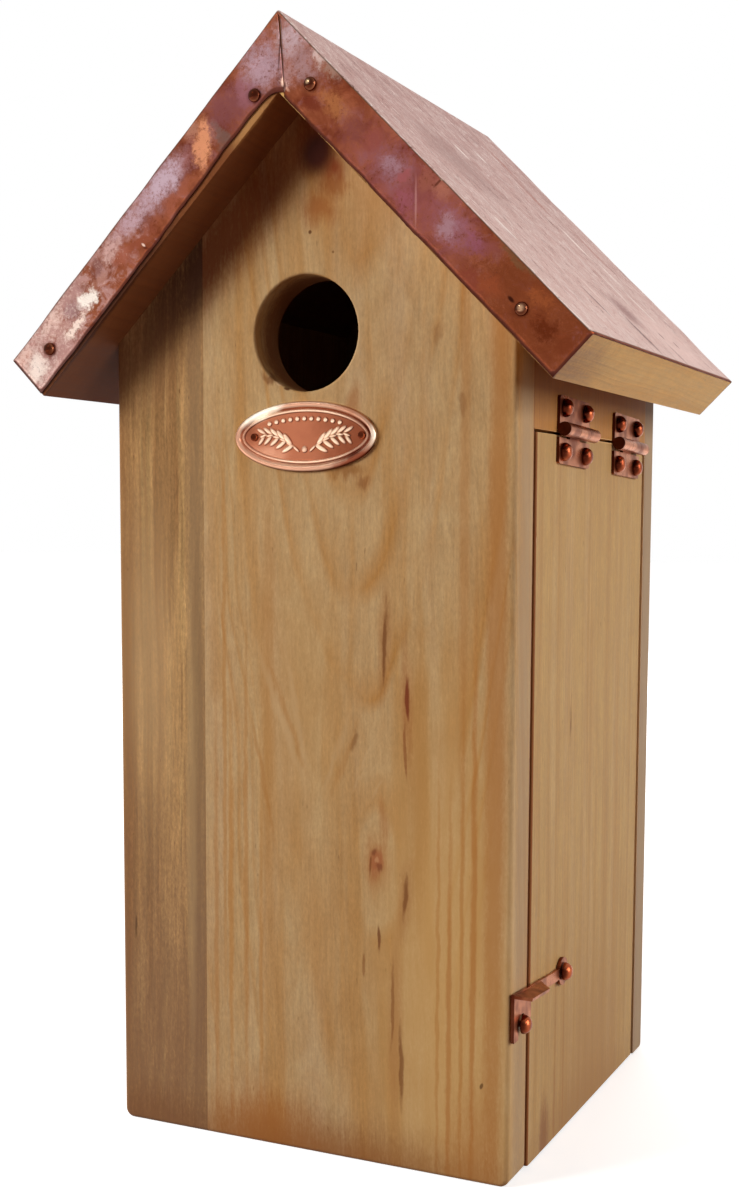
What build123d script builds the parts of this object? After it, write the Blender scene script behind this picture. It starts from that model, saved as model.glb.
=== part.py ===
import os
from math import cos, radians, sin, tan

from build123d import *

# Body of the box, all lengths in millimetres
body_width = 125.0
body_depth = 134.0
board = 14.5
front_thickness = 13.6
back_thickness = 10.0
edge_ease = 1.4
foot_corner = 2.8

# Roof
ridge_height = 317.0
roof_pitch = 45.0
roof_board = 14.5
eave_overhang = 25.5
front_overhang = 16.0
rear_overhang = 4.0

# Copper sheet over the roof, with flaps folded down over the gable edges
sheet = 0.5
left_flap_bare_edge = 1.8
right_flap_bare_edge = 0.2
flap_seam = 0.4

# Front board
narrow_stave = 29.5
hole_radius = 16.0
hole_above_shoulder = 1.2
hole_rim_ease = 0.8

# Floor
floor_recess = 5.0
floor_clip = 12.0
floor_to_door = 0.5

# Side door and the fixed rail above it
rail_height = 25.5
door_top_gap = 0.8
door_front_gap = 2.4
door_rear_gap = 2.2
door_bottom_gap = 0.6
door_ease = 0.6

# Butt hinges, each a rail leaf, a door leaf and a pin, on one axis that falls a little to the rear
hinge_fall = 1.8
hinge_width = 28.0
hinge_leaf_reach = 9.6
hinge_leaf = 0.9
hinge_corner = 1.2
knuckle_radius = 2.0
hinge_pin_radius = 0.85
hinge_nail_spacing = 19.4
hinge_nail_reach = 6.2
hinge_offset = 4.6
hinge_spacing = 53.8

# Round-headed nails of the hinges and the latch
nail_head_radius = 2.65
nail_head_height = 2.4
nail_shank_radius = 0.9
nail_length = 11.0
dome_flat = 0.1

# Latch plate, its pivot on the door and its stud in the front board's edge
latch_height = 50.5
latch_reach = 35.8
latch_stud_drop = 5.6
latch_thickness = 0.9
latch_eye_radius = 4.1
latch_rise = 4.3
latch_fall = 4.3
latch_arm = 3.3
latch_arm_run = 8.0
latch_leg_length = 13.6
latch_leg_width = 13.8
latch_leg_inset = 0.3
latch_shelf_droop = 11.0
latch_shelf_depth = 5.2
latch_shelf_length = 17.5
latch_shelf_taper = 4.5
latch_shelf_lead = 3.2

# Low round heads of the nails in the copper flaps
fascia_head_radius = 1.9
fascia_head_height = 1.2
fascia_shank_radius = 0.7
fascia_nail_length = 14.0
fascia_nail_shares = {"left": (0.08, 0.85), "right": (0.11, 0.785)}
fascia_nail_depths = {"left": (10.2, 7.5), "right": (7.5, 8.6)}

# Oval plaque and its nails
plaque_width = 44.2
plaque_height = 19.6
plaque_drop = 28.4
plaque_plate = 0.7
plaque_rim = 1.5
plaque_rim_rise = 0.7
plaque_nail_spacing = 33.6
plaque_nail_offset = 0.9
plaque_head_radius = 1.1
plaque_head_height = 0.7
plaque_shank_radius = 0.5
plaque_nail_length = 8.0

# Nails through the roof boards, under the copper
roof_head_radius = 2.2
roof_head_height = 1.0
roof_shank_radius = 1.1
roof_nail_length = 30.0
roof_nail_shares = (0.45, 0.85)

# Countersunk screws through the back board
screw_head_radius = 3.4
screw_head_height = 2.2
screw_shank_radius = 1.5
screw_length = 32.0
side_screw_shares = (0.14, 0.5, 0.88)
floor_screw_share = 0.5

# Hanger plate with a keyhole, on the back board
hanger_width = 24.0
hanger_height = 46.0
hanger_plate_thickness = 1.2
hanger_corner = 3.0
hanger_below_ridge = 54.0
keyhole_radius = 4.5
keyhole_slot_radius = 2.2
keyhole_rise = 9.0
keyhole_pocket_depth = 6.5
keyhole_pocket_margin = 1.5
hanger_screw_length = 10.0
hanger_screw_radius = 1.3
hanger_screw_head_radius = 2.4
hanger_screw_share = 0.78

# Clearances
air = 0.3
running_fit = 0.06
knuckle_air = 0.2

# Places and levels that follow from the sizes above
slope = radians(roof_pitch)
half_body = body_width / 2
eave = half_body + eave_overhang
front_face = (front_overhang - rear_overhang - body_depth) / 2
back_face = front_face + body_depth
roof_front = front_face - front_overhang
roof_back = back_face + rear_overhang
roof_length = roof_back - roof_front
roof_depth = sheet + roof_board
wood_ridge = ridge_height - sheet / cos(slope)
inner_ridge = ridge_height - roof_depth / cos(slope)
side_top = inner_ridge - half_body * tan(slope)
inner_front = front_face + front_thickness
inner_back = back_face - back_thickness
inner_depth = inner_back - inner_front
inner_side = half_body - board
glue_line = narrow_stave - half_body
hole_height = side_top + hole_above_shoulder
plaque_centre = hole_height - plaque_drop
rail_bottom = side_top - rail_height
door_top = rail_bottom - door_top_gap
hinge_axis_height = (rail_bottom + door_top) / 2
hinge_axis_out = half_body + air + knuckle_radius
hinge_lean = radians(hinge_fall)
hinge_middle = (inner_front + inner_back) / 2 + hinge_offset
sides = {"left": -1, "right": 1}


# A plane that looks out of the front, with X across and Z up
def facing_front(y):
    return Plane(origin=(0, y, 0), x_dir=(1, 0, 0), z_dir=(0, -1, 0))


# A plane that looks out of the back, with -X across and Z up
def facing_back(y):
    return Plane(origin=(0, y, 0), x_dir=(-1, 0, 0), z_dir=(0, 1, 0))


# A plane that looks out of the door's side, with Y across and Z up
def facing_right(x):
    return Plane(origin=(x, 0, 0), x_dir=(0, 1, 0), z_dir=(1, 0, 0))


# A plane like facing_right, with the hinges' axis along its X and the middle of the axis at its origin
def facing_hinges(x):
    along = (0, cos(hinge_lean), -sin(hinge_lean))
    return Plane(origin=(x, hinge_middle, hinge_axis_height), x_dir=along, z_dir=(1, 0, 0))


# A plane like facing_front, square to the hinges' axis at a distance from its middle
def across_hinges(distance):
    y = hinge_middle + distance * cos(hinge_lean)
    z = hinge_axis_height - distance * sin(hinge_lean)
    return Plane(origin=(0, y, z), x_dir=(1, 0, 0), z_dir=(0, -cos(hinge_lean), sin(hinge_lean)))


# Height of a sloping roof surface at x, for a surface that peaks at a ridge
def roof_line(ridge, x):
    return ridge - abs(x) * tan(slope)


# A point on the square-cut eave end, at a depth under the roof's outer surface
def eave_corner(side, depth):
    across = eave - depth * sin(slope)
    return (side * across, roof_line(ridge_height, eave) - depth * cos(slope))


# A plane on the outer face of a roof board, looking outwards
def on_slope(side, x, y):
    origin = (side * x, y, roof_line(wood_ridge, x))
    return Plane(origin=origin, x_dir=(0, 1, 0), z_dir=(side * sin(slope), 0, cos(slope)))


# Round-headed nails whose heads sit on a plane and whose shanks run in behind it
def round_headed_nails(plane, places, head_radius, head_height, shank_radius, length):
    outward = Axis(plane.origin, plane.z_dir)
    with BuildPart() as nails:
        with BuildSketch(plane):
            with Locations(*places):
                Circle(head_radius)
        extrude(amount=head_height)
        rims = nails.faces().filter_by(outward).group_by(outward)[-1].edges()
        fillet(rims, min(head_radius, head_height) - dome_flat)
        with BuildSketch(plane):
            with Locations(*places):
                Circle(shank_radius)
        extrude(amount=-length)
    return nails


# The edges round the front face of a stave, without its glue line and the slope under the roof
def outline_below_roof(stave):
    outline = stave.edges().group_by(Axis.Y)[0]
    return [e for e in outline if e.center().Z < side_top - 1 and abs(e.center().X - glue_line) > 1]


# Label a finished piece and write it
def keep(piece, node):
    piece.part.label = node
    export_step(piece.part, f"parts/{node}.step")


os.makedirs("parts", exist_ok=True)

# Roof nails: square to the slope, through the roof boards into the front and the back
with BuildPart() as roof_nails:
    for side in sides.values():
        for y in (front_face + front_thickness / 2, back_face - back_thickness / 2):
            for share in roof_nail_shares:
                with BuildSketch(on_slope(side, share * half_body, y)):
                    Circle(roof_head_radius)
                extrude(amount=-roof_head_height)
                with BuildSketch(on_slope(side, share * half_body, y)):
                    Circle(roof_shank_radius)
                extrude(amount=-roof_nail_length)
keep(roof_nails, "roof_nails")

# Fascia nails: through the copper flaps into the ends of the roof boards
fascia_places = [
    (sides[name] * share * eave, roof_line(ridge_height, share * eave) - depth / cos(slope))
    for name, shares in fascia_nail_shares.items()
    for share, depth in zip(shares, fascia_nail_depths[name])
]
fascia_nails = {}
for place, plane, across in (("front", facing_front(roof_front), 1), ("rear", facing_back(roof_back), -1)):
    nails = round_headed_nails(
        plane,
        [(across * x, z) for x, z in fascia_places],
        fascia_head_radius,
        fascia_head_height,
        fascia_shank_radius,
        fascia_nail_length,
    )
    keep(nails, f"{place}_fascia_nails")
    fascia_nails[place] = nails.part

# Plaque nails: small round heads on the plaque
plaque_nails = round_headed_nails(
    facing_front(front_face - plaque_plate),
    [(plaque_nail_offset + side * plaque_nail_spacing / 2, plaque_centre) for side in sides.values()],
    plaque_head_radius,
    plaque_head_height,
    plaque_shank_radius,
    plaque_nail_length,
)
keep(plaque_nails, "plaque_nails")

# Oval plaque: a thin plate with a raised rim
with BuildPart() as oval_plaque:
    with BuildSketch(facing_front(front_face)):
        with Locations((0, plaque_centre)):
            Ellipse(plaque_width / 2, plaque_height / 2)
    extrude(amount=plaque_plate)
    with BuildSketch(facing_front(front_face - plaque_plate)):
        with Locations((0, plaque_centre)):
            Ellipse(plaque_width / 2, plaque_height / 2)
            Ellipse(plaque_width / 2 - plaque_rim, plaque_height / 2 - plaque_rim, mode=Mode.SUBTRACT)
    extrude(amount=plaque_rim_rise)
    add(plaque_nails.part, mode=Mode.SUBTRACT)
keep(oval_plaque, "oval_plaque")

# Latch stud and latch pivot: round-headed nails that stand clear of the latch plate
latch_back = half_body + air
latch_face = latch_back + latch_thickness
latch_nail_seat = latch_face + air
stud_place = (front_face + front_thickness / 2, latch_height - latch_stud_drop)
pivot_place = (stud_place[0] + latch_reach, latch_height)
latch_nails = {}
for node, place in (("latch_stud", stud_place), ("latch_pivot_nail", pivot_place)):
    nail = round_headed_nails(
        facing_right(latch_nail_seat),
        [place],
        nail_head_radius,
        nail_head_height,
        nail_shank_radius,
        nail_length + latch_nail_seat - half_body,
    )
    keep(nail, node)
    latch_nails[node] = nail.part

# Latch plate: an eye on the door, a falling arm with a drooping shelf, and a leg that hooks over the stud
latch_top = latch_height + latch_rise
latch_lean = radians(latch_fall)
shelf_lean = radians(latch_shelf_droop)
leg_start = front_face + latch_leg_inset
leg_end = leg_start + latch_leg_width
arm_end = pivot_place[0] - latch_arm_run
arm_top = latch_top - (arm_end - leg_start) * tan(latch_lean)
shelf_root = latch_shelf_length + latch_shelf_taper
notch_radius = nail_head_radius + air
with BuildPart() as latch_plate:
    with BuildSketch(facing_right(latch_back)):
        Polygon(
            (leg_start, latch_top),
            (arm_end, arm_top),
            (pivot_place[0], arm_top),
            (pivot_place[0], arm_top - latch_arm),
            (arm_end, arm_top - latch_arm),
            (leg_end, latch_top - latch_leg_width * tan(latch_lean) - latch_arm),
            (leg_end, stud_place[1]),
            (stud_place[0], stud_place[1]),
            (stud_place[0] - notch_radius, stud_place[1]),
            (stud_place[0] - notch_radius, latch_top - latch_leg_length),
            (leg_start, latch_top - latch_leg_length),
            align=None,
        )
        with Locations(pivot_place):
            Circle(latch_eye_radius)
            Circle(nail_shank_radius + running_fit, mode=Mode.SUBTRACT)
        with Locations(stud_place):
            Circle(notch_radius, mode=Mode.SUBTRACT)
    extrude(amount=latch_thickness)
    shelf_plane = Plane(
        origin=(latch_back, leg_start, latch_top),
        x_dir=(0, cos(latch_lean), -sin(latch_lean)),
        z_dir=(sin(shelf_lean) * cos(latch_lean), cos(shelf_lean) * sin(latch_lean), cos(shelf_lean) * cos(latch_lean)),
    )
    with BuildSketch(shelf_plane):
        Polygon(
            (0, 0),
            (0, -latch_thickness),
            (latch_shelf_lead, -latch_shelf_depth),
            (latch_shelf_length, -latch_shelf_depth),
            (shelf_root, -latch_thickness),
            (shelf_root, 0),
            align=None,
        )
    extrude(amount=-latch_thickness)
keep(latch_plate, "latch_plate")

# Hinges: three knuckles on a pin, the outer two on the rail leaf and the middle one on the door leaf
hinge_centres = {"front": -hinge_spacing / 2, "rear": hinge_spacing / 2}
knuckle = (hinge_width - 2 * knuckle_air) / 3
hinge_nails = {}
for leaf_name, up, own_knuckles, bore in (
    ("rail", 1, (-1, 1), hinge_pin_radius),
    ("door", -1, (0,), hinge_pin_radius + running_fit),
):
    nail_places = [
        (centre + along * hinge_nail_spacing / 2, up * hinge_nail_reach)
        for centre in hinge_centres.values()
        for along in (-1, 1)
    ]
    nails = round_headed_nails(
        facing_hinges(half_body + hinge_leaf),
        nail_places,
        nail_head_radius,
        nail_head_height,
        nail_shank_radius,
        nail_length,
    )
    keep(nails, f"{leaf_name}_hinge_nails")
    hinge_nails[leaf_name] = nails.part
    for place, centre in hinge_centres.items():
        with BuildPart() as leaf:
            with BuildSketch(facing_hinges(half_body)) as flat:
                with Locations((centre, up * hinge_leaf_reach / 2)):
                    Rectangle(hinge_width, hinge_leaf_reach)
                fillet(flat.vertices().group_by(Axis.Y)[-1 if up > 0 else 0], hinge_corner)
                for along in {-1, 0, 1}.difference(own_knuckles):
                    with Locations((centre + along * (knuckle + knuckle_air), 0)):
                        Rectangle(knuckle + 2 * knuckle_air, 2 * (knuckle_radius + air), mode=Mode.SUBTRACT)
            extrude(amount=hinge_leaf)
            for along in own_knuckles:
                start = centre + along * (knuckle + knuckle_air) - knuckle / 2
                with BuildSketch(across_hinges(start)):
                    with Locations((hinge_axis_out, 0)):
                        Circle(knuckle_radius)
                extrude(amount=-knuckle)
            with BuildSketch(across_hinges(centre)):
                with Locations((hinge_axis_out, 0)):
                    Circle(bore)
            extrude(amount=hinge_width, both=True, mode=Mode.SUBTRACT)
            add(nails.part, mode=Mode.SUBTRACT)
        keep(leaf, f"{place}_hinge_{leaf_name}_leaf")
for place, centre in hinge_centres.items():
    with BuildPart() as pin:
        with BuildSketch(across_hinges(centre)):
            with Locations((hinge_axis_out, 0)):
                Circle(hinge_pin_radius)
        extrude(amount=hinge_width / 2, both=True)
    keep(pin, f"{place}_hinge_pin")

# Back screws: three into the left side, one into the rail and two into the floor
floor_middle = floor_recess + board / 2
back_screw_places = [(half_body - board / 2, share * side_top) for share in side_screw_shares]
back_screw_places.append((board / 2 - half_body, (rail_bottom + side_top) / 2))
back_screw_places += [(side * floor_screw_share * inner_side, floor_middle) for side in sides.values()]
to_surface = (Align.CENTER, Align.CENTER, Align.MAX)
with BuildPart(facing_back(back_face)) as back_screws:
    with Locations(*back_screw_places):
        Cone(screw_shank_radius, screw_head_radius, screw_head_height, align=to_surface)
        Cylinder(screw_shank_radius, screw_length, align=to_surface)
keep(back_screws, "back_screws")

# Hanger screws: flat heads level with the face of the hanger plate
hanger_centre = inner_ridge - hanger_below_ridge
hanger_face = back_face + hanger_plate_thickness
hanger_screw_places = [
    (0, hanger_centre + up * hanger_screw_share * hanger_height / 2) for up in (-1, 1)
]
with BuildPart(facing_back(hanger_face)) as hanger_screws:
    with Locations(*hanger_screw_places):
        Cone(hanger_screw_radius, hanger_screw_head_radius, hanger_plate_thickness, align=to_surface)
        Cylinder(hanger_screw_radius, hanger_screw_length, align=to_surface)
keep(hanger_screws, "hanger_screws")

# Hanger plate: a wall screw's head goes in at the round hole and its shank slides up the slot
keyhole_height = hanger_centre - keyhole_rise / 2
with BuildPart() as hanger_plate:
    with BuildSketch(facing_back(back_face)):
        with Locations((0, hanger_centre)):
            RectangleRounded(hanger_width, hanger_height, hanger_corner)
            SlotCenterToCenter(keyhole_rise, 2 * keyhole_slot_radius, rotation=90, mode=Mode.SUBTRACT)
        with Locations((0, keyhole_height)):
            Circle(keyhole_radius, mode=Mode.SUBTRACT)
    extrude(amount=hanger_plate_thickness)
    add(hanger_screws.part, mode=Mode.SUBTRACT)
keep(hanger_plate, "hanger_plate")

# Front board, narrow stave: the darker piece left of the glue line
with BuildPart() as front_narrow_stave:
    with BuildSketch(facing_front(front_face)):
        Polygon(
            (-half_body, 0),
            (glue_line, 0),
            (glue_line, roof_line(inner_ridge, glue_line)),
            (-half_body, side_top),
            align=None,
        )
    extrude(amount=-front_thickness)
    fillet(front_narrow_stave.edges().filter_by(Axis.Y).group_by(Axis.Z)[0].sort_by(Axis.X)[0], foot_corner)
    fillet(outline_below_roof(front_narrow_stave), edge_ease)
    add(roof_nails.part, mode=Mode.SUBTRACT)
keep(front_narrow_stave, "front_narrow_stave")

# Front board, wide stave: carries the entrance hole, the plaque and the latch stud
with BuildPart() as front_wide_stave:
    with BuildSketch(facing_front(front_face)):
        Polygon(
            (glue_line, 0),
            (half_body, 0),
            (half_body, side_top),
            (0, inner_ridge),
            (glue_line, roof_line(inner_ridge, glue_line)),
            align=None,
        )
    extrude(amount=-front_thickness)
    fillet(front_wide_stave.edges().filter_by(Axis.Y).group_by(Axis.Z)[0].sort_by(Axis.X)[-1], foot_corner)
    fillet(outline_below_roof(front_wide_stave), edge_ease)
    with BuildSketch(facing_front(front_face)):
        with Locations((0, hole_height)):
            Circle(hole_radius)
    extrude(amount=-front_thickness, mode=Mode.SUBTRACT)
    fillet(front_wide_stave.edges().filter_by(GeomType.CIRCLE).group_by(Axis.Y)[0].sort_by(Axis.Z)[-1], hole_rim_ease)
    add(roof_nails.part, mode=Mode.SUBTRACT)
    add(plaque_nails.part, mode=Mode.SUBTRACT)
    add(latch_nails["latch_stud"], mode=Mode.SUBTRACT)
keep(front_wide_stave, "front_wide_stave")

# Back board: the full gable shape, with a pocket behind the keyhole
with BuildPart() as back_board:
    with BuildSketch(facing_back(back_face)):
        Polygon(
            (-half_body, 0),
            (half_body, 0),
            (half_body, side_top),
            (0, inner_ridge),
            (-half_body, side_top),
            align=None,
        )
    extrude(amount=-back_thickness)
    fillet(back_board.edges().filter_by(Axis.X).group_by(Axis.Y)[-1].sort_by(Axis.Z)[0], edge_ease)
    with BuildSketch(facing_back(back_face)):
        with Locations((0, hanger_centre)):
            SlotCenterToCenter(keyhole_rise, 2 * (keyhole_radius + keyhole_pocket_margin), rotation=90)
    extrude(amount=-keyhole_pocket_depth, mode=Mode.SUBTRACT)
    add(roof_nails.part, mode=Mode.SUBTRACT)
    add(back_screws.part, mode=Mode.SUBTRACT)
    add(hanger_screws.part, mode=Mode.SUBTRACT)
keep(back_board, "back_board")

# Left side board, between the front and the back
with BuildPart() as left_side_board:
    with BuildSketch(facing_front(inner_front)):
        Polygon(
            (-half_body, 0),
            (-inner_side, 0),
            (-inner_side, roof_line(inner_ridge, inner_side)),
            (-half_body, side_top),
            align=None,
        )
    extrude(amount=-inner_depth)
    add(back_screws.part, mode=Mode.SUBTRACT)
keep(left_side_board, "left_side_board")

# Hinge rail, fixed above the door
with BuildPart() as hinge_rail:
    with BuildSketch(facing_front(inner_front)):
        Polygon(
            (inner_side, rail_bottom),
            (half_body, rail_bottom),
            (half_body, side_top),
            (inner_side, roof_line(inner_ridge, inner_side)),
            align=None,
        )
    extrude(amount=-inner_depth)
    add(back_screws.part, mode=Mode.SUBTRACT)
    add(hinge_nails["rail"], mode=Mode.SUBTRACT)
keep(hinge_rail, "hinge_rail")

# Side door, hung from the rail between the front and the back
with BuildPart() as side_door:
    with BuildSketch(facing_right(half_body)):
        Polygon(
            (inner_front + door_front_gap, door_bottom_gap),
            (inner_back - door_rear_gap, door_bottom_gap),
            (inner_back - door_rear_gap, door_top),
            (inner_front + door_front_gap, door_top),
            align=None,
        )
    extrude(amount=-board)
    fillet(side_door.faces().sort_by(Axis.X)[-1].edges().filter_by(Axis.Z), door_ease)
    add(hinge_nails["door"], mode=Mode.SUBTRACT)
    add(latch_nails["latch_pivot_nail"], mode=Mode.SUBTRACT)
keep(side_door, "side_door")

# Floor board, with clipped corners that let water out
with BuildPart() as floor_board:
    with BuildSketch(Plane.XY.offset(floor_recess)):
        Polygon(
            (-inner_side, inner_front),
            (inner_side - floor_to_door, inner_front),
            (inner_side - floor_to_door, inner_back),
            (-inner_side, inner_back),
            align=None,
        )
    extrude(amount=board)
    chamfer(floor_board.edges().filter_by(Axis.Z), floor_clip)
    add(back_screws.part, mode=Mode.SUBTRACT)
keep(floor_board, "floor_board")

# Roof boards: the right one runs through to the ridge and the left one butts under it
half_lap = (wood_ridge - inner_ridge) / 2
lap_corner = (-half_lap / tan(slope), wood_ridge - half_lap)
roof_outlines = {
    "left": [lap_corner, (0, inner_ridge), eave_corner(-1, roof_depth), eave_corner(-1, sheet)],
    "right": [(0, wood_ridge), eave_corner(1, sheet), eave_corner(1, roof_depth), lap_corner],
}
for name, corners in roof_outlines.items():
    with BuildPart() as roof_half:
        with BuildSketch(facing_front(roof_front + sheet)):
            Polygon(*corners, align=None)
        extrude(amount=-(roof_length - 2 * sheet))
        add(roof_nails.part, mode=Mode.SUBTRACT)
        add(fascia_nails["front"], mode=Mode.SUBTRACT)
        add(fascia_nails["rear"], mode=Mode.SUBTRACT)
    keep(roof_half, f"{name}_roof_board")

# Copper roof sheet: one sheet over the ridge, with a flap folded down at each end of each slope
flap_start = flap_seam / 2
flap_bare_edges = {"left": left_flap_bare_edge, "right": right_flap_bare_edge}
with BuildPart() as copper_roof_sheet:
    with BuildSketch(facing_front(roof_front)):
        Polygon(
            (0, ridge_height),
            eave_corner(1, 0),
            eave_corner(1, sheet),
            (0, wood_ridge),
            eave_corner(-1, sheet),
            eave_corner(-1, 0),
            align=None,
        )
    extrude(amount=-roof_length)
    for y in (roof_front, roof_back - sheet):
        with BuildSketch(facing_front(y)):
            for name, side in sides.items():
                reach = roof_depth - flap_bare_edges[name]
                Polygon(
                    (side * flap_start, roof_line(wood_ridge, flap_start)),
                    eave_corner(side, sheet),
                    eave_corner(side, reach),
                    (side * flap_start, roof_line(ridge_height, flap_start) - reach / cos(slope)),
                    align=None,
                )
        extrude(amount=-sheet)
    add(fascia_nails["front"], mode=Mode.SUBTRACT)
    add(fascia_nails["rear"], mode=Mode.SUBTRACT)
keep(copper_roof_sheet, "copper_roof_sheet")
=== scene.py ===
import math
from functools import partial
import bmesh
import bpy
from mathutils import Matrix, Vector, noise


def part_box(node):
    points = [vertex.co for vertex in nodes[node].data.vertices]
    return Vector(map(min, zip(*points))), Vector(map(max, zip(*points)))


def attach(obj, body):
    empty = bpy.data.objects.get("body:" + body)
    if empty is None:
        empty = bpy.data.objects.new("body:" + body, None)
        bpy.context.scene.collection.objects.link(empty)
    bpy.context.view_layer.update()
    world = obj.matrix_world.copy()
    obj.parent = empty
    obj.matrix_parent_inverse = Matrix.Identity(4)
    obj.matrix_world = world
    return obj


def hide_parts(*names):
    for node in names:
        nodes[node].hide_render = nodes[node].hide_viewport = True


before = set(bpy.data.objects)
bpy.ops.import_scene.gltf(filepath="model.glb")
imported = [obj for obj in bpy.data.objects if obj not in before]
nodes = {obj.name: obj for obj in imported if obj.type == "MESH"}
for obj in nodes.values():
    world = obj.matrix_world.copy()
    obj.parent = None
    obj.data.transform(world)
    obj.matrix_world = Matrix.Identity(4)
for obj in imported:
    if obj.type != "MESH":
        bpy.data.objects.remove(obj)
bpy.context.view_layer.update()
scene = bpy.context.scene
shaping = bmesh.ops
mm = 0.001


# sRGB hex to the linear colour that the shaders work in
def hexColour(code):
    channels = [int(code[i:i + 2], 16) / 255 for i in (1, 3, 5)]
    return tuple(c / 12.92 if c <= 0.04045 else ((c + 0.055) / 1.055) ** 2.4 for c in channels) + (1,)


# Adds one shader node with its settings, values and links, and gives back one of its outputs
def addNode(tree, kind, inputs=None, out=0, stops=None, **settings):
    node = tree.nodes.new("ShaderNode" + kind)
    for name, value in settings.items():
        setattr(node, name, value)
    for key, value in (inputs or {}).items():
        if isinstance(value, bpy.types.NodeSocket):
            tree.links.new(value, node.inputs[key])
        else:
            node.inputs[key].default_value = value
    if stops:
        ramp = node.color_ramp.elements
        while len(ramp) < len(stops):
            ramp.new(1)
        for element, (place, colour) in zip(ramp, stops):
            element.position, element.color = place, colour
    return node.outputs[out] if node.outputs else node


# A shade laid over a colour by an amount, or where a value goes from the span's first end to its second
def layOver(add, colour, shade, value, span=None, strength=1, soft=True, **settings):
    if span:
        easing = "SMOOTHSTEP" if soft else "LINEAR"
        value = add("MapRange", {0: value, 1: span[0], 2: span[1], 4: strength}, interpolation_type=easing)
    base, top = (hexColour(c) if isinstance(c, str) else c for c in (colour, shade))
    return add("Mix", {0: value, 6: base, 7: top}, out=2, data_type="RGBA", **settings)


# A new material, and addNode bound to its tree
def newMaterial(name):
    material = bpy.data.materials.new(name)
    material.use_nodes = True
    material.node_tree.nodes.clear()
    return material, partial(addNode, material.node_tree)


def giveMaterial(piece, material):
    piece.data.materials.clear()
    piece.data.materials.append(material)


def makePiece(bm, name, material, body, *replaced, slot):
    for face in bm.faces:
        face.smooth = True
    mesh = bpy.data.meshes.new(name)
    bm.to_mesh(mesh)
    bm.free()
    piece = bpy.data.objects.new(name, mesh)
    scene.collection.objects.link(piece)
    giveMaterial(piece, material)
    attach(piece, body)
    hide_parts(*replaced)
    return piece


# Camera: fitted to the corners of the boards and the roof in the photograph
cameraLook = {
    "place": (0.20715, -0.45944, 0.1837),
    "yaw": 25.04, "pitch": 5.4355, "roll": 0.2297,
    "lens": 47.81, "shift": (-0.00275, 0.0575),
}


def makeCamera(look):
    yaw, pitch, roll = (math.radians(look[k]) for k in ("yaw", "pitch", "roll"))
    ahead = Vector((-math.sin(yaw) * math.cos(pitch), math.cos(yaw) * math.cos(pitch), -math.sin(pitch)))
    level = Vector((math.cos(yaw), math.sin(yaw), 0))
    upright = level.cross(ahead)
    right = level * math.cos(roll) + upright * math.sin(roll)
    up = upright * math.cos(roll) - level * math.sin(roll)
    data = bpy.data.cameras.new("camera")
    data.lens, data.sensor_width = look["lens"], 36
    data.shift_x, data.shift_y = look["shift"]
    camera = bpy.data.objects.new("camera", data)
    turn = Matrix((right, up, -ahead)).transposed().to_4x4()
    camera.matrix_world = Matrix.Translation(look["place"]) @ turn
    scene.collection.objects.link(camera)
    scene.camera = camera


makeCamera(cameraLook)
print("camera set")

# Studio: white surroundings that fill the shadows with a warm tint, a softbox at the front left, one at
# the right, one behind for the back, and two small lamps for the glints on the metal
studioLook = {
    "surroundings": 0.03, "fill": "#ff8f74",
    "lamps": [
        # name, place, aimed at, size, watts, seen in the metal
        ("front left softbox", (-1.05, -1.02, 0.66), (0, 0, 0.16), 0.62, 24.5, False),
        ("right softbox", (1.36, 0.02, 0.54), (0, 0, 0.16), 0.85, 13.8, True),
        ("back softbox", (-0.45, 1.45, 0.7), (0, 0, 0.16), 0.8, 15, False),
        ("right glint", (1.05, -0.62, 0.66), (0, 0, 0.2), 0.12, 1.4, True),
        ("front glint", (-0.69, -1.12, 1.1), (0, 0, 0.25), 0.1, 1.2, True),
    ],
    # the floor's colour as the camera sees it and as it lights the object, its glow near and far
    "floor": "#efefef", "floorBounce": "#643c2c", "glow": (0.6, 1), "glowReach": (0.25, 0.95), "floorHalf": 6,
}


# 1 for what the camera and the metal see, 0 for the light that falls on the object
def seenWhite(add):
    rays = [add("LightPath", out=f"Is {ray} Ray") for ray in ("Camera", "Glossy", "Transmission")]
    either = add("Math", {0: rays[0], 1: rays[1]}, operation="MAXIMUM")
    return add("Math", {0: either, 1: rays[2]}, operation="MAXIMUM")


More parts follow.
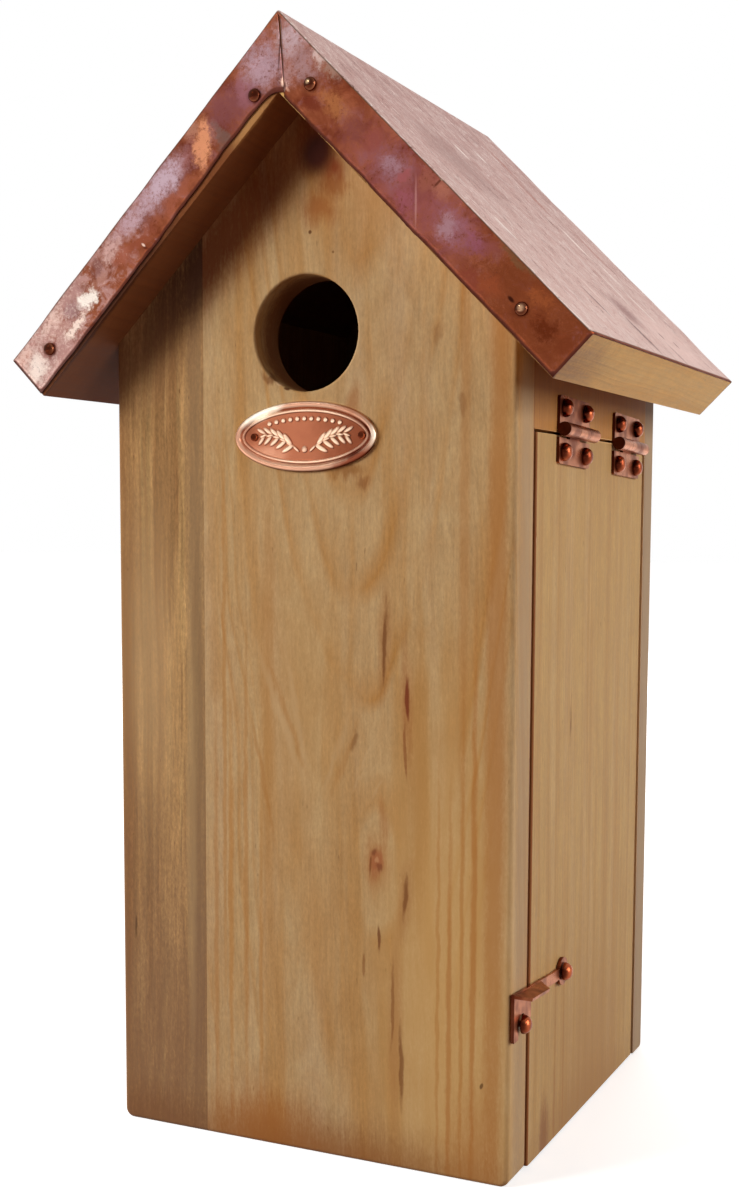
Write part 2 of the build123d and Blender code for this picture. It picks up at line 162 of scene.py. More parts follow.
def makeStudio(look):
    world = bpy.data.worlds.new("white surroundings")
    scene.world = world
    world.use_nodes = True
    world.node_tree.nodes.clear()
    add = partial(addNode, world.node_tree)
    white = seenWhite(add)
    strength = add("MapRange", {0: white, 3: look["surroundings"], 4: 1})
    tint = layOver(add, look["fill"], "#ffffff", white)
    add("OutputWorld", {"Surface": add("Background", {"Color": tint, "Strength": strength})})
    for name, place, target, size, watts, inMetal in look["lamps"]:
        data = bpy.data.lights.new(name, "AREA")
        data.shape, data.size, data.energy = "SQUARE", size, watts
        lamp = bpy.data.objects.new(name, data)
        lamp.location = place
        lamp.visible_glossy = inMetal
        lamp.rotation_euler = (Vector(target) - Vector(place)).to_track_quat("-Z", "Y").to_euler()
        scene.collection.objects.link(lamp)
    # Matt floor that the camera and the metal see as white, while the object's shadow stays on it
    material, add = newMaterial("matt pale studio floor")
    white = seenWhite(add)
    shade = layOver(add, look["floorBounce"], look["floor"], white)
    matt = add("BsdfPrincipled", {"Base Color": shade, "Roughness": 0.9, "Specular IOR Level": 0.1})
    away = add("VectorMath", {0: add("TexCoord", out="Object")}, out="Value", operation="LENGTH")
    (near, far), (dim, full) = look["glowReach"], look["glow"]
    level = add("MapRange", {0: away, 1: near, 2: far, 3: dim, 4: full}, interpolation_type="SMOOTHSTEP")
    glow = add("Emission", {"Strength": add("Math", {0: white, 1: level}, operation="MULTIPLY")})
    add("OutputMaterial", {"Surface": add("AddShader", {0: matt, 1: glow})})
    bm = bmesh.new()
    shaping.create_grid(bm, x_segments=1, y_segments=1, size=look["floorHalf"])
    mesh = bpy.data.meshes.new("studio floor")
    bm.to_mesh(mesh)
    bm.free()
    floor = bpy.data.objects.new("studio_floor", mesh)
    scene.collection.objects.link(floor)
    giveMaterial(floor, material)


makeStudio(studioLook)
scene.view_settings.view_transform = "Standard"
print("studio set")


# Object coordinates in millimetres, from a start point and turned by degrees about X, Y and Z
def inMillimetres(add, start=(0, 0, 0), turn=(0, 0, 0)):
    values = {"Location": tuple(c * mm for c in start), "Rotation": tuple(math.radians(a) for a in turn)}
    metres = add("TexCoord", out="Object")
    return add("Mapping", {"Vector": metres, "Scale": (mm,) * 3, **values}, vector_type="TEXTURE")


# Noise whose features have the given sizes along the three axes
def noiseAt(add, place, sizes, detail, roughness=0.5, start=(0, 0, 0), distortion=0, out="Fac"):
    scaled = add("Mapping", {"Vector": place, "Location": start, "Scale": tuple(1 / c for c in sizes)})
    values = {"Scale": 1, "Detail": detail, "Roughness": roughness, "Distortion": distortion}
    return add("TexNoise", {"Vector": scaled, **values}, out=out)


# Places pushed about by a coloured noise, half the reach each way
def pushedPlace(add, place, reach, push):
    centred = add("VectorMath", {0: push, 1: (0.5, 0.5, 0.5)}, operation="SUBTRACT")
    return add("VectorMath", {0: centred, 1: reach, 2: place}, operation="MULTIPLY_ADD")


# A ball that fades from 1 at its centre to 0 at its half sizes
def fadingBall(add, place, centre, half, turn=0):
    values = {"Location": centre, "Rotation": (0, math.radians(turn), 0), "Scale": half}
    local = add("Mapping", {"Vector": place, **values}, vector_type="TEXTURE")
    return add("TexGradient", {"Vector": local}, out="Fac", gradient_type="SPHERICAL")


# Each patch: centre, half sizes, turn about Y in degrees, colour, strength, sharpness
def addPatches(add, colour, place, patches, streak):
    for centre, half, turn, shade, strength, sharpness in patches:
        broken = add("Math", {0: fadingBall(add, place, centre, half, turn), 1: streak}, operation="MULTIPLY")
        colour = layOver(add, colour, shade, broken, (0, 1 / sharpness), strength)
    return colour


# Patches on an upright face at y, from rows that start with x, z and their half sizes
def onFace(y, depth, rows):
    return [((x, y, z), (wide, depth, high), *rest) for x, z, wide, high, *rest in rows]


# The surface: gloss that follows a noise, and a relief so many millimetres deep
def addSurface(add, colour, gloss, roughness, height, strength, depth, values):
    rough = add("MapRange", {0: gloss, 1: 0.3, 2: 0.7, 3: roughness[0], 4: roughness[1]})
    relief = add("Bump", {"Strength": strength, "Distance": depth * mm, "Height": height})
    surface = add("BsdfPrincipled", {"Base Color": colour, "Roughness": rough, "Normal": relief, **values})
    add("OutputMaterial", {"Surface": surface})


# Oiled pine, planed and sanded: soft annual rings, fine fibre lines, broad orange bands where
# the resin is, and an eggshell gloss. Places and sizes are in millimetres.
pineLook = {
    "fibre": (0.9, 0.9, 18), "grain": (0.7, 0.7, 1.75),  # real fibres are 0.03 mm wide: drawn coarser to show
    "roughness": (0.52, 0.7), "wander": 9, "oil": 0.42, "oilTint": "#9c6b3d", "dashes": 0.35,
    "dashTint": "#5c3a20", "fibreDepth": 0.12,
    "knots": [], "marks": [], "dots": [],
}


def pineMaterial(look):
    material, add = newMaterial("oiled pine, " + look["name"])
    place = inMillimetres(add)
    along = inMillimetres(add, look["pith"], look["turn"])
    seed = look["seed"]
    # Grain that wanders a few millimetres along the board
    push = noiseAt(add, along, (42, 42, 150), 2, start=(seed, seed, 0), out="Color")
    bent = pushedPlace(add, along, (look["wander"], look["wander"], 0), push)
    flat = add("VectorMath", {0: bent, 1: (1, 1, 0)}, operation="MULTIPLY")
    radius = add("VectorMath", {0: flat}, out="Value", operation="LENGTH")
    # The rings swell round a knot
    for centre, half, swell in look["knots"]:
        eased = add("MapRange", {0: fadingBall(add, place, centre, half), 4: swell},
                    interpolation_type="SMOOTHERSTEP")
        radius = add("Math", {0: radius, 1: eased}, operation="ADD")
    slow = add("Math", {0: radius, 1: 0.09}, operation="MULTIPLY")
    uneven = add("TexNoise", {"W": slow, "Scale": 1, "Detail": 1}, out="Fac", noise_dimensions="1D")
    shift = add("Math", {0: uneven, 1: 5}, operation="MULTIPLY")
    ringPlace = add("Math", {0: radius, 1: 1 / look["ringWidth"], 2: shift}, operation="MULTIPLY_ADD")
    cycle = add("Math", {0: ringPlace}, operation="FRACT")
    greys = [(at, (grey, grey, grey, 1)) for at, grey in ((0, 0), (0.5, 0.12), (0.8, 1), (1, 0))]
    fade = noiseAt(add, bent, (14, 14, 170), 2, start=(seed, 7, 3))
    depth = add("MapRange", {0: fade, 1: 0.35, 2: 0.65, 3: 0.15 * look["ringDepth"], 4: look["ringDepth"]})
    rings = add("Math", {0: add("ValToRGB", {0: cycle}, stops=greys), 1: depth}, operation="MULTIPLY")
    colour = layOver(add, look["early"], look["late"], rings)
    # Broad bands of another tint
    for tint, width, low, high, strength, offset in look["bands"]:
        band = noiseAt(add, bent, (width, width, 230), 2.5, 0.55, (offset, seed, 0))
        colour = layOver(add, colour, tint, band, (low, high), strength)
    # Uneven oil: soft clouds a few millimetres wide, longer than wide
    oil = noiseAt(add, place, (7, 7, 16), 5, 0.62, (seed, 2, seed), 0.5)
    colour = layOver(add, colour, look["oilTint"], oil, (0.34, 0.66), look["oil"], soft=False)
    # Fine fibre lines, and a grain that breaks them up
    fibre = noiseAt(add, bent, look["fibre"], 4, 0.65)
    grain = noiseAt(add, place, look["grain"], 3, 0.7)
    halfGrain = add("Math", {0: grain, 1: 0.5}, operation="MULTIPLY")
    fine = add("Math", {0: fibre, 1: 0.5, 2: halfGrain}, operation="MULTIPLY_ADD")
    tone = add("MapRange", {0: fine, 1: 0.36, 2: 0.64, 3: 1 - look["fibreDepth"], 4: 1 + look["fibreDepth"]},
               clamp=False)
    colour = layOver(add, colour, add("CombineColor", {0: tone, 1: tone, 2: tone}), 1, blend_type="MULTIPLY")
    # Pores and short dark dashes
    dash = noiseAt(add, bent, (1.1, 1.1, 4.5), 2, start=(3, seed, 5))
    colour = layOver(add, colour, look["dashTint"], dash, (0.7, 0.8), look["dashes"])
    # Stains, streaks and knots that this board has, with edges broken by the fibres
    torn = pushedPlace(add, place, (1.5, 1.5, 9), noiseAt(add, place, (3, 3, 9), 3, out="Color"))
    streak = add("MapRange", {0: fine, 1: 0.3, 2: 0.7, 3: 1.35, 4: 0.65}, clamp=False)
    colour = addPatches(add, colour, torn, look["marks"], streak)
    colour = addPatches(add, colour, place, look["dots"], 1)
    height = add("Math", {0: fine, 1: rings}, operation="ADD")
    addSurface(add, colour, fine, look["roughness"], height, 0.35, 0.12,
               {"IOR": 1.45, "Specular IOR Level": 0.24})
    return material


front = -61
boards = {}
boards["front_wide_stave"] = {
    "name": "flat-sawn front board",
    "pith": (18, 14, 100), "turn": (3.2, -1.2, 0), "seed": 3, "ringWidth": 3.1, "ringDepth": 0.85,
    "early": "#bd9e71", "late": "#ac783b", "fibreDepth": 0.15, "oilTint": "#a67a48",
    "bands": [("#ad7c40", 9, 0.46, 0.66, 0.6, 0), ("#bda07b", 16, 0.48, 0.66, 0.55, 40)],
    "knots": [((22.3, front, 88), (17, 30, 52), 5)],
    "marks": onFace(front, 8, [
        # more golden toward the low right
        (46, 45, 34, 130, 0, "#d0a362", 0.6, 1.1), (-2, 130, 20, 60, 0, "#b98f56", 0.35, 1.1),
        # orange-brown band near the edge
        (57.5, 140, 4.2, 260, 0, "#aa723b", 0.65, 1.5), (48, 190, 2.2, 130, 0, "#a87038", 0.4, 1.5),
        (51.6, 70, 1.3, 120, 0, "#a8692c", 0.6, 1.4), (48.2, 60, 0.9, 100, 0, "#ab6f30", 0.5, 1.4),
        (44.6, 40, 1.1, 90, 0, "#a8692e", 0.55, 1.4), (41.2, 50, 0.8, 90, 0, "#ac7233", 0.45, 1.4),
        (34.8, 112, 5, 60, 0, "#a8763a", 0.4, 1.3), (-12, 135, 3.5, 90, 0, "#ab773c", 0.4, 1.3),
        (-26.5, 130, 1, 120, 0, "#ab7437", 0.5, 1.4), (-24.5, 70, 1.3, 90, 0, "#b0742f", 0.5, 1.3),
        (-19.5, 80, 1.2, 100, 0, "#ab7234", 0.5, 1.3), (-14.5, 50, 1, 80, 0, "#ae7533", 0.45, 1.3),
        (-29.5, 60, 1.2, 100, 0, "#a8713a", 0.45, 1.3),
    ]) + onFace(front, 6, [
        # red-brown streaks, each a soft halo and a thin core
        (24.6, 149, 2.8, 22, 1.5, "#9a6638", 0.55, 1.2), (24.6, 149, 0.75, 15, 1.5, "#6a3c1c", 0.75, 1.6),
        (31.4, 133, 2.6, 24, -2, "#9d6233", 0.55, 1.2), (31.6, 134, 0.8, 8, -2, "#6b2613", 0.85, 1.8),
        (31, 120, 0.6, 10, -2, "#7d4422", 0.6, 1.6), (15.3, 121, 1.7, 3.4, 20, "#7a4e27", 0.6, 1.5),
    ]) + onFace(front, 8, [
        # knot
        (22.3, 88, 5.6, 12, 0, "#a8703e", 0.7, 1.2), (22.3, 87.3, 2.9, 6.6, 0, "#a0603c", 0.85, 1.5),
    ]) + onFace(front, 6, [
        (21.7, 90.8, 1.2, 2.4, 12, "#6e3a22", 0.65, 1.4),
        (23.4, 84.8, 1.2, 2.2, -18, "#743e26", 0.65, 1.4),
        (20.6, 86.5, 0.5, 3, 6, "#74401f", 0.7, 1.7), (22.6, 87.4, 0.8, 1.6, 0, "#c08c60", 0.7, 1.6),
        (24.6, 99, 2.4, 8, -8, "#a46a38", 0.5, 1.2), (31.2, 77.5, 3, 16, 5, "#a06c3c", 0.55, 1.2),
        (31.4, 79, 0.9, 9, 5, "#70401f", 0.75, 1.6), (23.3, 65, 0.8, 4.5, 0, "#68371c", 0.8, 1.8),
        (18.6, 58, 0.7, 4, 0, "#83532c", 0.6, 1.6), (28.4, 40, 3.2, 40, 0, "#a36d3b", 0.5, 1.2),
        (27.5, 48, 0.7, 17, 1, "#7f4f2a", 0.6, 1.6), (30.3, 30, 0.9, 16, -1, "#6f4020", 0.7, 1.6),
    ]) + onFace(front, 8, [
        # darker foot
        (0, 0, 90, 18, 0, "#8a572e", 0.65, 1.1), (-14, 4, 24, 22, 0, "#a0622c", 0.65, 1.1),
        (52, 4, 12, 34, 0, "#a86c34", 0.5, 1.1),
        # pointed arch of the growth lines
        (-8.3, 127.3, 1.6, 28, -21.6, "#c4a478", 0.4, 1.2),
        (-5.7, 126.5, 1.3, 26, -21.6, "#a8743c", 0.4, 1.2),
        (-2.8, 127.6, 1.5, 26, -10.7, "#c4a478", 0.35, 1.2), (-14, 110, 1, 30, -12, "#a8743c", 0.45, 1.4),
        (10, 118.4, 1.5, 20, 20.5, "#c4a478", 0.3, 1.2), (12.6, 117, 1.4, 18, 20.5, "#a8743c", 0.35, 1.2),
    ]) + onFace(front, 6, [
        (19.5, 118, 0.7, 7, 28, "#c6a578", 0.35, 1.4), (17, 111, 0.7, 6, 30, "#c6a578", 0.3, 1.4),
        (22.5, 108.5, 0.7, 5, 26, "#c6a578", 0.3, 1.4),
    ]) + [
        # painted shadow of the left eave: warm brown on the board below it
        ((-25.8, front, 261.7), (64, 8, 15), -45, "#8a4b23", 0.85, 1.1),
        # darker, red-brown top under the ridge
        ((4, front, 288), (12, 10, 15), 0, "#7c3a18", 0.9, 1.2),
    ] + onFace(front, 8, [
        (8.5, 274, 8, 5, 20, "#8a4a20", 0.75, 1.2), (4, 268, 8.5, 7, 20, "#96582a", 0.75, 1.2),
    ]) + [
        # the hole's wall
        ((0, -50.5, 234.5), (30, 10.7, 30), 0, "#744425", 0.9, 2.2),
        ((20, front, 272), (14, 8, 16), 0, "#a97a48", 0.5, 1.1),
    ] + onFace(front, 6, [
        # stains round the plaque
        (14.4, 213, 3.4, 11, 8, "#9a6033", 0.6, 1.3), (13, 196.8, 7.5, 3.6, 0, "#84501f", 0.7, 1.3),
        (18, 193, 3, 3, 0, "#7a4522", 0.6, 1.4), (40, 233, 2.2, 5, 8, "#8f6136", 0.45, 1.5),
        (47, 214, 1.6, 4, -6, "#8a5c33", 0.5, 1.6),
    ]) + [
        # raw lower left of the hole's rim
        ((-11.5, front, 222.5), (4, 5, 2), 35, "#6e3d1c", 0.7, 1.4),
        # sawn side of the board
        ((62.5, -53, 150), (2.5, 7, 330), 0, "#a58765", 0.6, 1.4),
    ],
    "dots": [
        ((5, front, 0), (80, 8, 11), 0, "#8a5428", 0.5, 1),
        # darker, red-brown and nearly black spots at the top under the ridge
        ((8.8, front, 278.5), (7, 8, 4.8), 28, "#7a2c10", 0.8, 1),
        ((3.6, front, 283), (7, 10, 8.5), 12, "#3c0f03", 0.97, 1.4),
        ((1.4, front, 261.8), (0.7, 6, 0.7), 0, "#5c3418", 0.9, 1.8),
        ((8.5, front, 256), (0.5, 6, 0.5), 0, "#7a5430", 0.8, 2),
        ((-8.6, front, 221), (1.6, 4, 0.7), 32, "#d3b083", 0.9, 2),
        ((-11, front, 223.6), (1.3, 4, 0.6), 45, "#d3b083", 0.85, 2),
        ((-6, front, 219.4), (1.2, 4, 0.5), 20, "#4d2a12", 0.9, 2),
        ((54.5, front, 28), (0.6, 6, 1.2), 20, "#5b3a1f", 0.8, 2),
        # painted shade: the board's face in the gap beside the door drawn dark brown
        ((55, -47.4, 130), (26, 0.6, 260), 0, "#80461f", 0.9, 3),
    ],
}
boards["front_narrow_stave"] = {
    "name": "darker front stave",
    "pith": (-62, 20, 100), "turn": (0.5, 0.6, 0), "seed": 11, "ringWidth": 2.6, "ringDepth": 0.3,
    "early": "#bd9562", "late": "#956a3e", "fibreDepth": 0.3, "dashes": 0.8, "oilTint": "#8c683d",
    "bands": [("#86613c", 3.6, 0.44, 0.6, 0.75, 5), ("#c0a36c", 3.2, 0.5, 0.7, 0.4, 60),
              ("#7c5030", 7, 0.46, 0.66, 0.5, 31)],
    "marks": onFace(front, 8, [
        # greyer along the glue line
        (-35.8, 140, 5, 300, 0, "#8b6f4f", 0.7, 1.3), (-62, 150, 5, 260, 0, "#855a36", 0.6, 1.3),
        # (-25.8, 261.7): painted shadow of the left eave; (-50, 230) on the next line: painted shade at its
        # softer lower edge
        (-50, 0, 40, 75, 0, "#8c6642", 0.55, 1.1), (-25.8, 261.7, 64, 15, -45, "#46200e", 0.92, 1.2),
        (-50, 230, 34, 18, -45, "#906541", 0.45, 1), (-52, 140, 15, 75, 0, "#c6a478", 0.45, 1),
        (-48, 35, 40, 110, 0, "#7d5c46", 0.55, 1), (-38, 96, 2.2, 90, 0, "#b8996c", 0.35, 1.4),
        (-48, 0, 40, 16, 0, "#74492c", 0.6, 1.2),
    ]) + onFace(front, 6, [(-57.5, 60, 0.6, 3.5, 0, "#4e3422", 0.7, 1.9)]),
}
boards["side_door"] = {
    "name": "quarter-sawn door",
    "pith": (20, 60, 100), "turn": (0.4, 0.3, 0), "seed": 23, "ringWidth": 3.4, "ringDepth": 0.36,
    "early": "#bb9761", "late": "#a27848", "fibreDepth": 0.13, "wander": 4, "oil": 0.35,
    "oilTint": "#a57d4b",
    "bands": [("#a97c4a", 5, 0.48, 0.66, 0.45, 9), ("#c2a377", 6, 0.5, 0.66, 0.45, 33)],
    "marks": [
        ((62.5, -11.5, 125), (6, 1.4, 11), 0, "#8e6238", 0.55, 1.3),
        ((62.5, -11.5, 124), (6, 0.5, 6), 0, "#6e4522", 0.6, 1.5),
        ((62.5, -44.6, 177.7), (4, 1.6, 2.6), 0, "#8a5a30", 0.7, 1.6),
        ((62.5, -21.7, 46.6), (3, 1.3, 1.1), 0, "#5c3418", 0.9, 2.2),  # old nail hole
        ((62.5, 5, 0), (8, 80, 18), 0, "#8f5e36", 0.5, 1.2),
        ((62.5, 14, 12), (8, 44, 46), 0, "#9c6b3c", 0.5, 1),
        ((62.5, 8, 20), (8, 80, 70), 0, "#a07744", 0.45, 1),
        ((62.5, -31, 5), (6, 6, 17), 0, "#7f4d2a", 0.75, 1.3),
        ((62.5, -22, 20), (6, 1.2, 50), 0, "#96602f", 0.5, 1.3),
        ((62.5, -14, 25), (6, 1, 60), 0, "#9a6534", 0.45, 1.3),
        # painted shade of the eave at the top of the door
        ((62.5, 8, 212), (8, 80, 30), 0, "#a07a4e", 0.4, 1),
    ],
    "dots": [
        # painted shade: the door's front edge in the gap drawn dark brown
        ((55, -45, 100), (30, 0.8, 220), 0, "#8a4a1e", 0.9, 3),
        # painted light: the door's rear edge and its top edge, in the gaps, drawn pale as if lit
        ((45, 60.75, 100), (24, 0.35, 220), 0, "#e6b87e", 0.95, 3),
        ((45, 8, 206.9), (24, 90, 0.35), 0, "#e6b87e", 0.95, 3),
        ((63.4, -44.2, 177.6), (1.4, 0.8, 2.4), 0, "#d5b083", 0.9, 2),
    ],
}
boards["hinge_rail"] = {
    "name": "hinge rail",
    "pith": (20, 70, 100), "turn": (0.5, 0.3, 0), "seed": 31, "ringWidth": 3, "ringDepth": 0.4,
    "early": "#b17d44", "late": "#915e2b", "fibreDepth": 0.1, "wander": 4, "oilTint": "#a06a32",
    "bands": [("#ae753a", 9, 0.45, 0.68, 0.5, 4)],
    # painted shade of the eave on the rail's front end
    "marks": [((62.5, -44, 228), (5, 14, 26), 0, "#8a5527", 0.5, 1.2)],
    # painted light: the rail's face above the door drawn pale as if lit
    "dots": [((45, 8, 207.85), (24, 90, 0.35), 0, "#e6b87e", 0.95, 3)],  # lit face above the door
}
boards["back_board"] = {
    "name": "weathered back board",
    "pith": (-10, 140, 100), "turn": (2, 0.8, 0), "seed": 41, "ringWidth": 3.6, "ringDepth": 0.5,
    "early": "#9d8064", "late": "#7c5a40", "fibreDepth": 0.14, "oilTint": "#80593b",
    "bands": [("#9a7c63", 7, 0.42, 0.64, 0.7, 2), ("#b0977a", 12, 0.5, 0.68, 0.5, 51)],
    "knots": [((-24, 73, 208), (16, 30, 44), 5), ((31, 73, 66), (14, 30, 40), 4)],
    "marks": onFace(73, 8, [
        (-24, 208, 6, 10, 0, "#8b5f3a", 0.8, 1.5), (-24, 208, 3, 5, 0, "#58331d", 0.9, 1.8),
        (31, 66, 5, 9, 0, "#8b5f3a", 0.8, 1.5), (31, 66, 2.4, 4.2, 0, "#5d371f", 0.9, 1.8),
    ]) + onFace(73, 6, [(8, 128, 1.5, 22, 0, "#7a4d2c", 0.6, 1.6)]),
    "dots": [((62.5, 69, 120), (1.6, 8, 260), 0, "#a88e6c", 0.6, 1.6),
             # painted light: the back board's face in the gap behind the door drawn pale as if lit
             ((45, 63.05, 120), (24, 0.35, 260), 0, "#e6b87e", 0.95, 3)],
}
boards["left_side_board"] = {
    "name": "left side board",
    "pith": (10, -20, 100), "turn": (-1.5, 1.2, 0), "seed": 53, "ringWidth": 3.3, "ringDepth": 0.42,
    "early": "#b38d62", "late": "#9c7145",
    "bands": [("#a57743", 9, 0.46, 0.68, 0.5, 21), ("#b69a75", 15, 0.5, 0.68, 0.45, 70)],
    "knots": [((-62.5, 18, 94), (30, 15, 42), 5)],
    "marks": [
        ((-62.5, 18, 94), (8, 5, 9.5), 0, "#8f5f38", 0.8, 1.5),
        ((-62.5, 18, 94), (8, 2.5, 5), 0, "#5e3520", 0.9, 1.8),
        ((-62.5, -22, 168), (6, 1.3, 20), 0, "#80512c", 0.65, 1.6),
        ((-62.5, -10, 4), (8, 40, 14), 0, "#8d6040", 0.55, 1.3),
    ],
}
boards["floor_board"] = {
    "name": "floor board",
    "pith": (0, 10, 45), "turn": (0, 90, 0), "seed": 61, "ringWidth": 3.2, "ringDepth": 0.42,
    "early": "#ad8a61", "late": "#967048",
    "bands": [("#a27545", 9, 0.46, 0.68, 0.5, 11)],
}
# Painted shade: the left roof board's pine is drawn dark red-brown, as its underside looks in shade
boards["left_roof_board"] = {
    "name": "left roof board, in painted shade",
    "pith": (-30, 0, 180), "turn": (-90, -45, 0), "seed": 71, "ringWidth": 3, "ringDepth": 0.45,
    "early": "#7c4a29", "late": "#623319", "oilTint": "#69361b",
    "bands": [("#774627", 9, 0.46, 0.68, 0.5, 14)],
    # painted shadow under the left flap's lower edge on the gable strip; the strip near the ridge drawn back
    # to the lit wood
    "marks": [((-56, -76.5, 241), (46, 2.2, 20), -45, "#40200f", 0.95, 1.4),
              ((-8, -76.5, 289), (12, 1.8, 6), -45, "#c8955c", 0.6, 1.3)],
}
# Painted light: the right roof board's pine is drawn lighter, to stand in for light on its eave end
boards["right_roof_board"] = {
    "name": "right roof board, in painted light",
    "pith": (30, 0, 180), "turn": (-90, 45, 0), "seed": 83, "ringWidth": 2.2, "ringDepth": 0.5,
    "early": "#e4ba76", "late": "#c49150", "fibreDepth": 0.15, "dashes": 0.6, "oilTint": "#cf9b57",
    "bands": [("#cd9855", 8, 0.46, 0.68, 0.45, 17)],
    "marks": [((80, -76, 222), (14, 46, 14), 0, "#8a6244", 0.8, 1),
              ((76, -70, 228), (4, 10, 3), 45, "#7b4a30", 0.6, 1.3),
              # painted shade: a dark line under the right flap's lower edge
              ((47, -76.5, 249), (66, 1.8, 3), 45, "#6b3d20", 0.9, 1.6)],
}
for node, look in boards.items():
    giveMaterial(nodes[node], pineMaterial({**pineLook, **look}))
print("boards finished:", len(boards))

# Copper sheet, rolled, folded and left to tarnish: a soft metal gloss under patches of brown, orange and
# lilac oxide, pale partly where rubbed and partly with painted sheen and painted highlights. Places and sizes
# are in millimetres.
frontFlaps = -77
copperLook = {
    "name": "tarnished rolled copper sheet",
    "slope": "#d3b0a8", "slopeLight": "#f6dcd1", "slopeDark": "#aa8781", "slopeStain": "#b58d87",
    "scratch": "#704d49", "swirl": "#fdf0e8",
    "flap": "#7d4029", "flapDark": "#642b1b", "flapOrange": "#925137", "lilac": "#8d5a58", "speck": "#4a241a",
    "pale": "#b48981", "paleCream": "#e3c8bb", "fold": "#54402e", "rim": "#45211a",
    "cloud": 8, "spot": 0.9, "scratchWidth": 0.46, "scratchLength": 22,
    "roughness": (0.3, 0.46), "edgeTint": (0.62, 0.5, 0.48, 1),
    # streaks and pools of tarnish on the right slope, and near-white spots and streaks that are painted
    # highlights: x, y, half sizes, colour, strength, sharpness
    "slopeMarks": [
        (80, 35, 22, 38, 16, "#f8dcd2", 0.8, 1), (33, -30, 26, 30, 16, "#b09089", 0.75, 1),
        (31, 41, 15, 3.2, 9, "#b4705f", 0.75, 1), (18, 47, 14, 3.2, 9, "#b97a6c", 0.75, 1),
        (46, 54, 15, 2.8, 9, "#b97a6c", 0.7, 1), (25.5, -10, 5, 2, 9, "#fff3ea", 0.95, 1.6),
        (21.5, 16, 4.5, 1.7, 9, "#fff3ea", 0.9, 1.6), (57.5, -57.5, 7, 2, 9, "#fff3ea", 0.95, 1.6),
        (47, 34, 11, 2.4, 9, "#fff0e6", 0.95, 1.4), (56, 42, 10, 2, 9, "#fff0e6", 0.95, 1.4),
        (63, 22, 12, 1.8, 9, "#fff0e6", 0.9, 1.4), (67, 38, 11, 1.7, 9, "#fff0e6", 0.9, 1.4),
        (68, -20, 10, 1.8, 9, "#fbe4da", 0.8, 1.4), (73, 2, 10, 14, 9, "#a07b78", 0.85, 1),
        (81, -8, 11, 2.8, 9, "#7d5c5d", 0.85, 1.3), (74, -30, 9, 1.8, 9, "#8a6764", 0.8, 1.3),
        (78, 24, 2, 1, 9, "#754b44", 0.95, 1.8), (80, 34, 2, 1, 9, "#754b44", 0.95, 1.8),
        (84, 20, 7, 1.3, 9, "#86625e", 0.8, 1.5),
    ],
    # sharp marks of the front flaps: grime round the nails; painted highlights and painted shade on the two
    # sides of the crease, the notch, the tear and the folds at the seam
    "dots": onFace(frontFlaps, 3, [
        (-7.04, 295.2, 3, 3, 0, "#5c3230", 0.75, 1.4), (-74.8, 231.4, 3.4, 3.4, 0, "#6d3b33", 0.75, 1.3),
        (9.68, 296, 3.3, 3.2, 0, "#6c3a24", 0.75, 1.4), (68.6, 235.4, 3.4, 2.8, 0, "#5e2b19", 0.8, 1.4),
        (66.3, 238.2, 1.6, 0.7, 45, "#2c100a", 0.9, 1.6), (40.1, 264, 0.45, 9, 0, "#c49088", 0.4, 1.2),
        (39.4, 266.5, 0.5, 12, 0, "#6d3b3c", 0.25, 1.2), (46.6, 268.6, 2.8, 0.5, -40, "#5a2c20", 0.8, 1.6),
        (47.6, 269.3, 0.8, 0.7, 0, "#f3d2b4", 0.9, 1.6), (-42.4, 258.8, 1.1, 0.45, 35, "#f0d0bc", 0.9, 1.4),
        (-41.6, 257.9, 1.5, 0.5, 12, "#5d2a1c", 0.8, 1.6), (1.5, 298, 0.8, 1.6, 0, "#f0c4ac", 0.75, 1.4),
        (3, 296, 1.3, 0.6, 45, "#d8a088", 0.6, 1.3), (0.6, 306.5, 0.35, 7, 4, "#3a1712", 0.7, 1.6),
        (2.2, 297, 0.5, 1.6, 0, "#54241a", 0.8, 1.6),
    ]),
}


